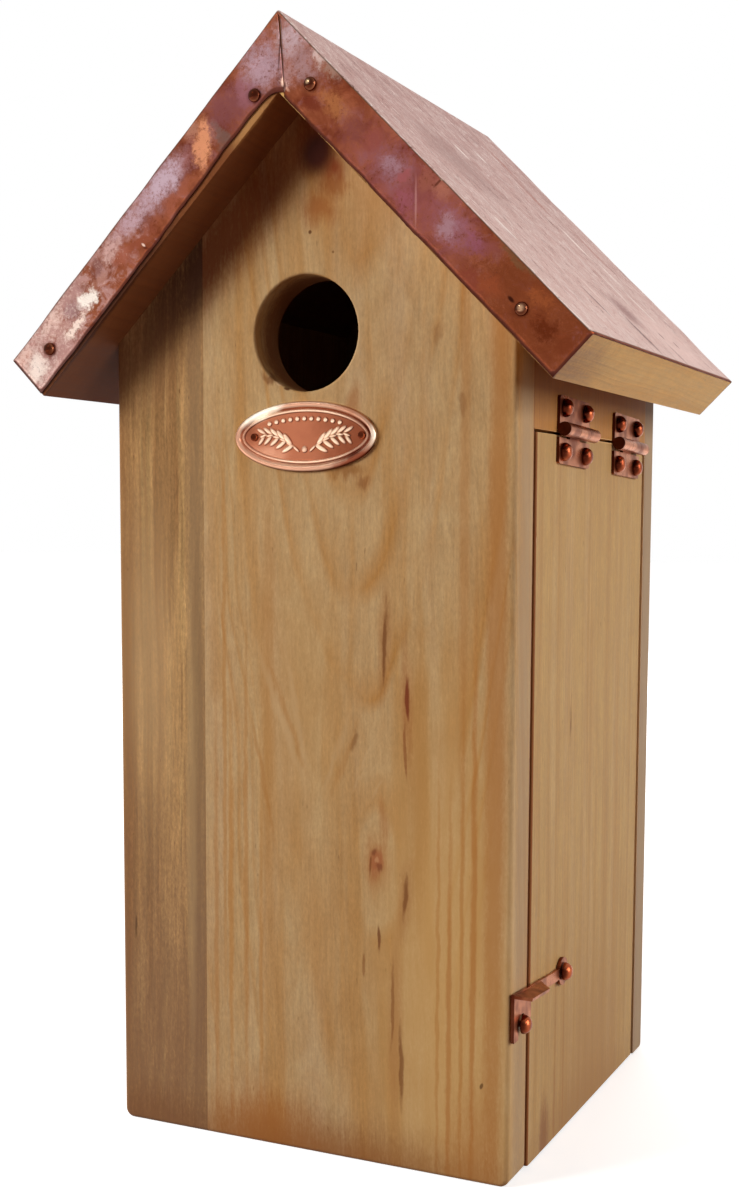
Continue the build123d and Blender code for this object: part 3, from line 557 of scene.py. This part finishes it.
def copperSheetMaterial(look, patches):
    material, add = newMaterial(look["name"])
    place = inMillimetres(add)
    cloud = noiseAt(add, place, (look["cloud"],) * 3, 4, 0.6, distortion=0.6)
    cloudTwo = noiseAt(add, place, (look["cloud"] / 1.7,) * 3, 5, 0.65, (9, 4, 2), 0.8)
    spots = noiseAt(add, place, (look["spot"],) * 3, 3, 0.7)
    # Scratches run down each slope: the mirrored X makes one pattern serve both
    apart, across = (add("SeparateXYZ", {0: place}, out=axis) for axis in "XY")
    down = add("Math", {0: apart}, operation="ABSOLUTE")
    sway = add("Math", {0: cloud, 1: 9, 2: across}, operation="MULTIPLY_ADD")
    longways = add("Math", {0: down, 1: 1.4 / look["scratchLength"]}, operation="MULTIPLY")
    crossways = add("Math", {0: sway, 1: 1 / look["scratchWidth"]}, operation="MULTIPLY")
    brushed = add("CombineXYZ", {0: longways, 1: crossways})
    scratches = add("TexNoise", {"Vector": brushed, "Scale": 1, "Detail": 4, "Roughness": 0.7})
    swirl = noiseAt(add, place, (20, 6, 20), 4, 0.6, distortion=2.6)
    slope = layOver(add, look["slopeDark"], look["slope"], scratches, (0.3, 0.62))
    slope = layOver(add, slope, look["slopeLight"], down, (10, 88), 0.7, soft=False)
    # painted sheen: pale swirls across the slope
    slope = layOver(add, slope, look["swirl"], swirl, (0.55, 0.66), 0.5)
    # Painted sheen: pale lines that curl across the slope
    line = add("Math", {0: add("Math", {0: swirl, 1: 0.5}, operation="SUBTRACT")}, operation="ABSOLUTE")
    curl = add("MapRange", {0: line, 2: 0.035, 3: 0.9, 4: 0})
    sheenLines = add("Math", {0: curl, 1: add("MapRange", {0: cloud, 1: 0.4, 2: 0.52})}, operation="MULTIPLY")
    slope = layOver(add, slope, look["swirl"], sheenLines)
    slope = layOver(add, slope, look["slopeStain"], cloudTwo, (0.5, 0.66), 0.45)
    # Dark scratches come in groups
    grouping = add("MapRange", {0: cloud, 1: 0.35, 2: 0.65, 3: -0.05, 4: 0.1})
    grouped = add("Math", {0: scratches, 1: grouping}, operation="ADD")
    slope = layOver(add, slope, look["scratch"], grouped, (0.42, 0.37), 0.75, soft=False)
    # Flaps: darker oxide in clouds
    oxides = ((0.3, "flapDark"), (0.46, "flap"), (0.6, "flapOrange"), (0.75, "lilac"))
    flap = add("ValToRGB", {0: cloud}, stops=[(at, hexColour(look[key])) for at, key in oxides])
    flap = layOver(add, flap, look["lilac"], cloudTwo, (0.52, 0.68), 0.55)
    torn = pushedPlace(add, place, (9, 7, 9), noiseAt(add, place, (5, 5, 5), 6, 0.75, out="Color"))
    mottled = add("MapRange", {0: spots, 1: 0.3, 2: 0.7, 3: 0.45, 4: 1.5}, clamp=False)
    marks = [((x, y, roofHigh.z / mm - x), half, 45, shade, strength, sharpness)
             for x, y, *half, shade, strength, sharpness in look["slopeMarks"]]
    slope = addPatches(add, slope, place, marks, mottled)
    # Painted sheen: the left flap pales toward its eave in ragged clouds
    sheenTowardEave = add("MapRange", {0: apart, 1: -24, 2: -92, 4: 0.52})
    ragged = add("Math", {0: sheenTowardEave, 1: cloudTwo}, operation="ADD")
    flap = layOver(add, flap, look["pale"], ragged, (0.66, 0.86), 0.85)
    flap = addPatches(add, flap, torn, patches, mottled)
    # Fine pale flecks of painted sheen toward the eave, dark specks everywhere
    flecks = add("Math", {0: sheenTowardEave, 1: spots}, operation="ADD")
    flap = layOver(add, flap, look["paleCream"], flecks, (0.84, 1.04), 0.5, soft=False)
    flap = layOver(add, flap, look["speck"], spots, (0.38, 0.27), 0.5, soft=False)
    flap = addPatches(add, flap, place, look["dots"], 1)
    # The slopes are told from the flaps by the way they face
    facing = add("SeparateXYZ", {0: add("TexCoord", out="Normal")}, out="Z")
    colour = layOver(add, flap, slope, facing, (0.25, 0.5), soft=False)
    # Painted shade: dark in the fold above the flaps and on the sheet's edge where it faces down
    folded = add("MapRange", {0: facing, 1: 0.09, 2: 0.33})
    flat = add("MapRange", {0: facing, 1: 0.36, 2: 0.66, 3: 0.8, 4: 0})
    colour = layOver(add, colour, look["fold"], add("Math", {0: folded, 1: flat}, operation="MULTIPLY"))
    colour = layOver(add, colour, look["rim"], facing, (-0.14, -0.34), 0.88, soft=False)
    clouds = add("Math", {0: cloudTwo, 1: 2.5}, operation="MULTIPLY")
    height = add("Math", {0: scratches, 1: 0.4, 2: clouds}, operation="MULTIPLY_ADD")
    metal = {"Metallic": 1, "Specular Tint": look["edgeTint"]}
    addSurface(add, colour, cloudTwo, look["roughness"], height, 0.5, 0.2, metal)
    return material


# Patches on the front flaps, as the photograph shows them, and a few on the rear ones
flapPatches = onFace(frontFlaps, 4, [
    # left flap, from the ridge down
    (-5, 303, 10, 9, 45, "#a98990", 0.9, 1.2), (-10, 296, 7, 6, 45, "#925f67", 0.8, 1.3),
    (-16, 292.5, 9, 8, 45, "#7a4646", 0.85, 1.3), (-20.5, 287.5, 4.5, 4.5, 45, "#9f6a66", 0.6, 1.3),
    # grey-green by the lower edge
    (-17.5, 286, 3, 5.5, -30, "#6d544c", 0.75, 1.5),
    # bare orange copper
    (-23.2, 284, 3.4, 9.5, 4, "#d28c66", 0.95, 1.6), (-27, 288.5, 3.6, 3, -45, "#b27c66", 0.7, 1.4),
    (-28.5, 281, 3.4, 6, 45, "#8e5146", 0.8, 1.3), (-37, 274, 18, 7.5, -45, "#a9868c", 0.8, 1),
    (-36.5, 275.2, 12, 5.5, -45, "#c0a5ae", 0.9, 1.1), (-32, 270.8, 9, 2.8, -45, "#98553f", 0.8, 1.4),
    (-46.5, 266, 12, 4.4, -45, "#bb9ba1", 0.85, 1.1), (-44, 259.5, 12, 2.6, -45, "#8d4b36", 0.85, 1.4),
    (-50, 256, 5, 2.6, -45, "#9c5945", 0.8, 1.5), (-53.5, 258, 6, 4, -45, "#c9a097", 0.8, 1.3),
    (-58, 254, 3.2, 2.4, -45, "#7a4a42", 0.7, 1.6), (-57.5, 250, 5, 2.4, -45, "#a4705f", 0.7, 1.4),
    # painted highlights, where the lamp shows in the sheet
    (-61, 245, 4.8, 3.4, -20, "#f3e5d8", 0.98, 1.7), (-66.7, 242.5, 4.6, 3.6, -45, "#9d7a77", 0.8, 1.4),
    (-65.5, 237.6, 6.5, 2, -45, "#efd8c8", 0.92, 1.6), (-70.5, 238, 4, 3, -45, "#b98d82", 0.7, 1.4),
    (-73.5, 239.5, 5, 3, -45, "#d8b4a6", 0.8, 1.3), (-74.9, 231.9, 2.6, 2.6, 0, "#7c4234", 0.85, 1.5),
    (-79, 226, 6, 5, -30, "#f0dfd2", 0.85, 1.4), (-83.5, 229, 4, 3.5, -45, "#d3a292", 0.8, 1.3),
    (-84, 223, 4, 3, 0, "#e0bba8", 0.8, 1.4),
    # right flap, from the ridge down
    (39, 267, 36, 13, 45, "#84474a", 0.65, 1.2), (72, 236, 30, 18, 45, "#6f361d", 0.85, 1.5),
    # crumpled foot of the seam
    (1.9, 297.2, 1.5, 2.4, 0, "#dcb6a6", 0.9, 1.5), (4, 309, 7, 7, 45, "#b4989a", 0.9, 1.1),
    (7.5, 301.5, 9, 6, 45, "#9b7877", 0.85, 1.1), (3, 299.5, 2.6, 5, 0, "#a57a74", 0.8, 1.3),
    # silvery streak by the nail
    (12, 303, 2.4, 4.6, -42, "#c4a8a0", 0.85, 1.4), (16, 299, 5, 2.6, 45, "#93786b", 0.7, 1.3),
    (9.6, 291.6, 4.4, 2.6, 10, "#6c3020", 0.85, 1.5), (17, 290.5, 8, 4, 45, "#a0633c", 0.85, 1.2),
    (22, 284, 5.5, 4.6, 0, "#774039", 0.8, 1.3), (28, 280.5, 5, 4, 45, "#86453c", 0.75, 1.3),
    (33.5, 273.6, 8.5, 7, 30, "#8c6066", 0.85, 1), (32.8, 274.4, 4, 3.4, 20, "#9c757c", 0.7, 1.1),
    (36, 270.8, 2.4, 1.8, 0, "#96504f", 0.8, 1.5), (37, 265, 6.5, 4.2, 45, "#8f4f57", 0.8, 1.2),
    (43, 269.5, 3.2, 5, 30, "#8f5243", 0.8, 1.4), (47, 266.5, 4.2, 3.6, 45, "#9b5f4d", 0.85, 1.4),
    (50.5, 257, 11, 7, 42, "#8c5860", 0.85, 1), (48.2, 257.4, 4.4, 5, 20, "#a07a80", 0.75, 1.1),
    (57, 252.6, 6.5, 3.4, 45, "#8a5060", 0.75, 1.1), (60.5, 251, 5, 3, 45, "#7f443d", 0.75, 1.3),
    (55.5, 243, 7, 3.6, 45, "#7b3b2c", 0.85, 1.3), (61, 242, 6, 4, 45, "#8a4429", 0.7, 1.3),
    (57.5, 237.6, 4.5, 1.8, 45, "#672b14", 0.8, 1.6),
    # olive along the upper fold
    (67.5, 248.2, 9, 1.5, 45, "#6e4a30", 0.75, 1.5), (74, 237.6, 6, 3.6, 45, "#8c4928", 0.75, 1.3),
    (75.3, 230.4, 5.6, 4.2, 20, "#58230f", 0.85, 1.3), (81, 226, 5, 4, 45, "#6d331c", 0.75, 1.3),
]) + onFace(-frontFlaps, 4, [
    # rear flaps
    (30, 276, 14, 8, 45, "#a07c82", 0.85, 1.3), (-34, 272, 16, 8, -45, "#b48a78", 0.85, 1.3),
    (-68, 240, 9, 9, 0, "#d9b49a", 0.85, 1.4),
])

# Roof sheet: one sheet over the ridge, flaps folded over both gable ends, dented by the hammer
roofLow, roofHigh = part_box("copper_roof_sheet")
roofSheetLook = {
    "cell": 1.45, "foldRadius": 0.7, "thickness": 0.38, "flapRows": 10,
    # the left flap leaves more of the wood bare, most near the ridge
    "flapDepth": {-1: 13, 1: 14.8}, "lowerLeft": 0.75,
    "dentDepth": 0.22, "dentSize": 15, "rippleDepth": 0.06, "rippleSize": 4.5,
    "seamShift": 1.9, "seamGap": 0.55, "seamFoot": 3.3,
    "nails": [(-7.04, 295.5), (-74.8, 231.6), (9.68, 296.7), (69.08, 235.7)],
    "crease": 40.4,
    "bumps": [(47.5, 268.5, 0.35, 1.6), (2.6, 296.8, 0.3, 1.1), (1.2, 299.6, 0.25, 0.9),
              (12.6, 302.4, 0.25, 1.2), (-41.8, 258.4, 0.45, 1)],
}


def makeRoofSheet(look, material):
    run = roofHigh.x * math.sqrt(2)  # the slopes fall at 45 degrees
    span = roofHigh.y - roofLow.y
    columns, lines = round(run / mm / look["cell"]), round(span / mm / look["cell"])
    bm = bmesh.new()
    shaping.create_grid(bm, x_segments=columns, y_segments=lines, size=0.5)
    shaping.scale(bm, vec=(run, span, 1), verts=bm.verts)
    shaping.translate(bm, vec=(run / 2, (roofHigh.y + roofLow.y) / 2, 0), verts=bm.verts)
    shaping.rotate(bm, cent=(0, 0, 0), matrix=Matrix.Rotation(math.radians(45), 3, "Y"), verts=bm.verts)
    shaping.translate(bm, vec=(0, 0, roofHigh.z), verts=bm.verts)
    shaping.mirror(bm, geom=bm.verts[:] + bm.edges[:] + bm.faces[:], axis="X", merge_dist=0)
    shaping.remove_doubles(bm, verts=bm.verts, dist=0.02 * mm)
    shaping.recalc_face_normals(bm, faces=bm.faces)
    if bm.faces[:][0].normal.z < 0:
        shaping.reverse_faces(bm, faces=bm.faces)
    # Flaps, extruded row by row square to their slope, then cut off plumb at the seam
    for end in (roofLow.y, roofHigh.y):
        for side in (-1, 1):
            down = Vector((-side, 0, -1)).normalized() * look["flapDepth"][side] * mm / look["flapRows"]
            edges = [e for e in bm.edges if e.is_boundary and all(
                abs(v.co.y - end) < 1e-6 and v.co.x * side > -1e-6
                and abs(v.co.z + abs(v.co.x) - roofHigh.z) < 1e-5 for v in e.verts)]
            grown = []
            for row in range(look["flapRows"]):
                result = shaping.extrude_edge_only(bm, edges=edges)["geom"]
                verts = [g for g in result if isinstance(g, bmesh.types.BMVert)]
                edges = [g for g in result if isinstance(g, bmesh.types.BMEdge)
                         and sum(v in verts for v in g.verts) == 2]
                shaping.translate(bm, vec=down, verts=verts)
                grown += [g for g in result if isinstance(g, bmesh.types.BMFace)]
            fresh = set(grown)
            grown = [f for f in bm.faces if f in fresh and f.calc_center_median().x * side > -0.02
                     and all(abs(v.co.y - end) < 1e-6 for v in f.verts)]
            rims = list({e for f in grown for e in f.edges})
            whole = list({v for f in grown for v in f.verts}) + rims + grown
            shaping.bisect_plane(bm, geom=whole, dist=1e-6, plane_co=(0, 0, 0), plane_no=(side, 0, 0),
                                 clear_inner=True)
    shaping.recalc_face_normals(bm, faces=bm.faces)
    if sum(f.normal.z for f in bm.faces if abs(f.normal.y) < 0.1) < 0:
        shaping.reverse_faces(bm, faces=bm.faces)
    folds = [e for e in bm.edges if len(e.link_faces) == 2 and e.calc_face_angle() > 0.5]
    shaping.bevel(bm, geom=folds, offset=look["foldRadius"] * mm, segments=3, profile=0.5, affect="EDGES",
                  material=-1)
    shapeRoofSheet(bm, look)
    piece = makePiece(bm, "dented_copper_roof_sheet", material, "box", "copper_roof_sheet",
                      slot="copper_sheet")
    wall = piece.modifiers.new("sheet thickness", "SOLIDIFY")
    wall.thickness, wall.offset = look["thickness"] * mm, -1


# Dents, ripples, dimples at the nails, the crease and the wandering lower edges
def shapeRoofSheet(bm, look):
    bm.normal_update()
    moves = []
    for v in bm.verts:
        x, y, z = (c / mm for c in v.co)
        below = (roofHigh.z / mm - abs(x) - z) / math.sqrt(2)  # depth under the slope's surface
        onFlap = abs(v.normal.y) > 0.8
        dent = noise.noise(v.co / (look["dentSize"] * mm)) * look["dentDepth"]
        ripple = noise.noise(v.co / (look["rippleSize"] * mm) + Vector((5, 1, 8))) * look["rippleDepth"]
        calm = min(1, abs(x) / 8, (88 - abs(x)) / 6) if not onFlap else min(1, below / 3)
        push = (dent + ripple - 0.06) * max(0, calm)
        if onFlap:
            for nx, nz in look["nails"]:
                away = math.hypot(x - nx, z - nz)
                push -= 0.22 * math.exp(-(away / 2.3) ** 2) - 0.1 * math.exp(-((away - 3.4) / 0.9) ** 2)
            if y < 0:
                aside = (x - look["crease"] - 0.02 * (z - 266)) / 0.55
                push += 0.2 * math.exp(-aside ** 2) * min(1, below / 2)
                for bx, bz, high, wide in look["bumps"]:
                    push += high * math.exp(-(math.hypot(x - bx, z - bz) / wide) ** 2)
        move = v.normal * push * mm
        if onFlap:
            side = 1 if v.link_faces[0].calc_center_median().x > 0 else -1
            depth = look["flapDepth"][side]
            share = min(1, max(0, below / depth))
            edge = 0.45 * noise.noise(Vector((x / 7, y, 3))) + 0.2 * noise.noise(Vector((x / 2.2, y, 9)))
            move += Vector((side, 0, 1)).normalized() * edge * mm * share ** 4
            near = max(0, 1 - abs(x) / 9) ** 2
            gap = look["seamGap"] * (1 if side > 0 else 0.25) * min(1, below / 2) * (1 - 0.9 * share ** 2)
            if side < 0 and y < 0:
                move += Vector((1, 0, -1)) * look["lowerLeft"] * mm * share * min(1, max(0, (-x - 16) / 30))
            if side < 0:
                nearSeam = max(0, 1 - abs(x) / 4.5) ** 2
                move += Vector((0, 0, -1)) * look["seamFoot"] * mm * share ** 2 * nearSeam
            slide = look["seamShift"] * share * near
            move += Vector((slide + side * gap * max(0, 1 - abs(x) / 3), 0, -max(side, 0) * slide)) * mm
        moves.append(move)
    for v, move in zip(bm.verts, moves):
        v.co += move


copperSheet = copperSheetMaterial(copperLook, flapPatches)
makeRoofSheet(roofSheetLook, copperSheet)
print("copper roof sheet shaped")

# Copper-plated steel, stamped and barrel-finished: satin, browner where the fingers and the rain
# reach it, nearly black-brown on faces turned to the front (cut edges, partly real, and painted shade) and in
# painted shade beside the heads
platedLook = {
    "name": "copper-plated stamped steel",
    "bright": "#b06a48", "dull": "#74361f", "cut": "#3a140a", "edgeTint": (0.96, 0.87, 0.8, 1), "cloud": 6,
    "grit": 0.35, "roughness": (0.4, 0.24),
    # painted shade beside the heads of the nails and over the knuckles' ends
    "corners": [((63.6, y, z), (2.6, 1.9, 2.9), 0, "#3c150b", 0.9, 1.5) for y, z in
                ((-26.1, 214.6), (-6.7, 214), (27.7, 212.8), (47.1, 212.2), (-26.3, 202.3), (-6.9, 201.7),
                 (27.4, 200.6), (46.8, 200), (-57, 45.4), (-21, 50.6))],
}


def platedMaterial(look):
    material, add = newMaterial(look["name"])
    place = inMillimetres(add)
    cloud, grit = (noiseAt(add, place, (look[key],) * 3, 2) for key in ("cloud", "grit"))
    colour = layOver(add, look["dull"], look["bright"], cloud, (0.36, 0.64))
    if look["corners"]:
        # painted shade: faces turned to the front drawn nearly black-brown (on the cut edges partly real),
        # then the painted spots laid over
        facing = add("SeparateXYZ", {0: add("TexCoord", out="Normal")}, out="Y")
        colour = layOver(add, colour, look["cut"], facing, (-0.55, -0.92), 0.9, soft=False)
        colour = addPatches(add, colour, place, look["corners"], add("MapRange", {0: grit, 3: 0.8, 4: 1.2}))
    metal = {"Metallic": 1, "Specular Tint": look["edgeTint"]}
    addSurface(add, colour, cloud, look["roughness"], grit, 0.25, 0.05, metal)
    return material


plated = platedMaterial(platedLook)
domes = platedMaterial({**platedLook, "name": "copper-plated nail heads, polished by wear",
                        "bright": "#a35232", "dull": "#74331d", "roughness": (0.28, 0.16)})
for node in ("front_hinge_rail_leaf", "front_hinge_door_leaf", "front_hinge_pin", "rear_hinge_rail_leaf",
             "rear_hinge_door_leaf", "rear_hinge_pin", "latch_plate"):
    giveMaterial(nodes[node], plated)
for node in ("rail_hinge_nails", "door_hinge_nails", "latch_pivot_nail", "latch_stud", "plaque_nails"):
    giveMaterial(nodes[node], domes)

# Fascia nails: domed heads hammered into the flaps, browned, with a painted highlight on the two right ones
fasciaNailLook = {
    **platedLook, "name": "browned copper nail heads", "bright": "#7c4a32", "dull": "#4e2416",
    "roughness": (0.24, 0.14),
    # painted highlights on the two right nails
    "corners": [((9.4, -78.2, 297.1), (0.9, 2, 0.9), 0, "#d9b48c", 0.8, 1.1),
                ((69.2, -78.2, 235.9), (1.3, 2, 1.3), 0, "#cfa27e", 0.8, 1.1)],
    "head": 1.8, "rise": 1.15, "shank": 0.7, "length": 14,
}


def makeFasciaNails(look, node, outward, material):
    low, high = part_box(node)
    base = (low.y if outward < 0 else high.y) - outward * look["rise"] * mm
    bm = bmesh.new()
    for x, z in roofSheetLook["nails"]:
        place = Matrix.Translation((x * mm, base, z * mm))
        dome = place @ Matrix.Diagonal((look["head"], look["rise"], look["head"], 1))
        shaping.create_uvsphere(bm, u_segments=24, v_segments=16, radius=mm, matrix=dome)
        radius = look["shank"] * mm
        inward = Matrix.Translation((0, -outward * look["length"] / 2 * mm, 0))
        shank = place @ inward @ Matrix.Rotation(math.radians(90), 4, "X")
        shaping.create_cone(bm, cap_ends=True, segments=16, radius1=radius, radius2=radius,
                            depth=look["length"] * mm, matrix=shank)
    makePiece(bm, "domed_" + node, material, "box", node, slot="copper_plated_steel")


fasciaNailFinish = platedMaterial(fasciaNailLook)
makeFasciaNails(fasciaNailLook, "front_fascia_nails", -1, fasciaNailFinish)
makeFasciaNails(fasciaNailLook, "rear_fascia_nails", 1, fasciaNailFinish)

# Zinc-plated steel: bluish white, satin, with the faint spangle of the passivation
zincLook = {**platedLook, "name": "zinc-plated steel", "bright": "#b9bcc0", "dull": "#8f9398", "corners": [],
            "edgeTint": (1, 1, 1, 1), "roughness": (0.42, 0.28)}
zinc = platedMaterial(zincLook)
for node in ("roof_nails", "back_screws", "hanger_plate", "hanger_screws"):
    giveMaterial(nodes[node], zinc)
print("hardware finished")

# Oval plaque: pressed copper with a double rim, a plain leaf sprig on each side and a row of beads
plaqueLow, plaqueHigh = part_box("oval_plaque")
plaqueLook = {
    "name": "pressed copper, rubbed bright on its ridges", "bright": "#f6d3b4", "field": "#b26b4d",
    "brown": "#7c4029", "shade": "#5f2717",
    "cloud": 4, "grit": 1 / 2.2, "roughness": (0.28, 0.42), "steps": 128,
    # uneven tone: cream painted highlights at the upper left and the right end, painted shade on the lower
    # right rim, pink at the lower left, brown at both ends
    "wearAndGlints": [
        ((-13.5, -61.8, 213.6), (13, 3, 3.4), -24, "#fff1dc", 0.95, 1.6),
        ((22.5, -61.8, 206), (3, 3, 7), 0, "#fff0da", 0.8, 1.4),
        ((15, -61.8, 199.3), (10, 3, 2.8), -26, "#74321c", 0.9, 1.5),
        ((14, -61.8, 213.5), (9, 3, 2.6), 24, "#b07052", 0.7, 1.2),
        ((-12, -61.2, 201), (9, 1.5, 4), 0, "#d99b7c", 0.8, 1.1),
        ((-17.5, -61.2, 208), (3.4, 1.2, 5), 0, "#7c412c", 0.7, 1.3),
        ((10, -60.4, 209), (12, 1.2, 5), 12, "#74392a", 0.8, 1.2),
        ((1, -60.4, 206), (6, 1.2, 6), 0, "#a05f4a", 0.5, 1.2),
    ],
    # inset from the edge, height off the wood
    "rings": [(0, 0.5), (0.15, 0.95), (0.45, 1.25), (0.85, 1.38), (1.25, 1.3), (1.55, 1.05), (1.8, 0.7),
              (2.1, 0.55), (2.3, 0.8), (2.5, 1.02), (2.75, 1.05), (3, 0.85), (3.15, 0.5)],
    "leaf": (2.4, 0.8, 0.8), "stem": (1.4, 0.7, 0.42), "bead": 0.75, "crisp": 50,
}


def plaqueMaterial(look):
    material, add = newMaterial(look["name"])
    place = inMillimetres(add)
    cloud = noiseAt(add, place, (look["cloud"],) * 3, 3)
    grit = noiseAt(add, place, (look["grit"],) * 3, 2)
    # Field: pink copper that browns toward the right end
    apart, fromFront = (add("SeparateXYZ", {0: place}, out=axis) for axis in "XY")
    toRight = add("Math", {0: cloud, 1: 14, 2: apart}, operation="MULTIPLY_ADD")
    colour = layOver(add, look["field"], look["brown"], toRight, (4, 24), 0.9)
    # Painted light: flanks facing the upper left drawn bright as painted highlights, the others drawn dark as
    # painted shade; raised tops bright, partly real polish and partly painted highlight
    normal = add("TexCoord", out="Normal")
    towardUpperLeft = add("VectorMath", {0: normal, 1: (-0.5, 0, 0.85)}, out="Value", operation="DOT_PRODUCT")
    colour = layOver(add, colour, look["shade"], towardUpperLeft, (-0.15, -0.6), 0.85, soft=False)
    centre, half = (plaqueLow + plaqueHigh) / 2 / mm, (plaqueHigh - plaqueLow) / 2 / mm
    values = {"Location": (centre.x, 0, centre.z), "Scale": (half.x, 1e6, half.z)}
    oval = add("Mapping", {"Vector": place, **values}, vector_type="TEXTURE")
    outward = add("VectorMath", {0: oval}, out="Value", operation="LENGTH")
    polishAndGlint = add("MapRange", {0: outward, 1: 0.74, 2: 0.82, 3: 0.9, 4: 0.3})
    wood = plaqueHigh.y / mm
    raised = add("MapRange", {0: fromFront, 1: wood - 0.7, 2: wood - 1.1, 4: polishAndGlint})
    litFlanks = add("MapRange", {0: towardUpperLeft, 1: 0.15, 2: 0.6})
    colour = layOver(add, colour, look["bright"], add("Math", {0: raised, 1: litFlanks}, operation="MAXIMUM"))
    mottled = add("MapRange", {0: cloud, 1: 0.3, 2: 0.7, 3: 0.6, 4: 1.4})
    colour = addPatches(add, colour, place, look["wearAndGlints"], mottled)
    addSurface(add, colour, cloud, look["roughness"], grit, 0.3, 0.08, {"Metallic": 1})
    return material


def makePlaque(look, material):
    centre = (plaqueLow + plaqueHigh) / 2
    onWood = Matrix.Translation((centre.x, plaqueHigh.y, centre.z))
    bm = bmesh.new()
    stretched = Matrix.Diagonal((plaqueHigh.x - centre.x, 1, plaqueHigh.z - centre.z, 1))
    oval = stretched @ Matrix.Rotation(math.radians(90), 4, "X")
    shaping.create_circle(bm, cap_ends=True, segments=look["steps"], radius=1, matrix=onWood @ oval)
    # A short wall up from the wood, then one inset for each step of the rim
    wall = shaping.extrude_face_region(bm, geom=bm.faces[:])["geom"]
    disc = [g for g in wall if isinstance(g, bmesh.types.BMFace)][0]
    shaping.translate(bm, vec=(0, -look["rings"][0][1] * mm, 0), verts=disc.verts)
    for (lastIn, lastUp), (inset, up) in zip(look["rings"], look["rings"][1:]):
        shaping.inset_region(bm, faces=[disc], thickness=(inset - lastIn) * mm, depth=0)
        shaping.translate(bm, vec=(0, -(up - lastUp) * mm, 0), verts=disc.verts)
    onField = onWood @ Matrix.Translation((0, -look["rings"][-1][1] * mm, 0))

    def addBlob(x, z, half, turn):
        spot = onField @ Matrix.Translation((x * mm, 0, z * mm))
        blob = spot @ Matrix.Rotation(math.radians(turn), 4, "Y") @ Matrix.Diagonal((*half, 1))
        shaping.create_uvsphere(bm, u_segments=16, v_segments=10, radius=mm, matrix=blob)

    for side in (-1, 1):
        # Stem along a shallow bow, with leaves in pairs
        for step in range(6):
            t = step / 5
            x, z = side * (2.6 + 10.4 * t), -3.4 + 3.8 * math.sin(t * 1.8)
            addBlob(x, z, look["stem"], -side * (42 - 60 * t))
            if 0 < step:
                for flip in (-1, 1):
                    half = [c * (1 - 0.25 * t) for c in look["leaf"]]
                    addBlob(x + side * 0.6, z + flip * 1.3, half, -side * (40 * flip + 18 - 30 * t))
    for step in range(-5, 6):
        addBlob(step * 2.2, 4.9 - 0.05 * step * step, (look["bead"],) * 3, 0)
    addBlob(0, -3.6, (1, 0.5, 1), 0)
    shaping.recalc_face_normals(bm, faces=bm.faces)
    piece = makePiece(bm, "leaf_plaque", material, "box", "oval_plaque", slot="copper_sheet")
    piece.data.set_sharp_from_angle(angle=math.radians(look["crisp"]))


makePlaque(plaqueLook, plaqueMaterial(plaqueLook))
print("plaque pressed")
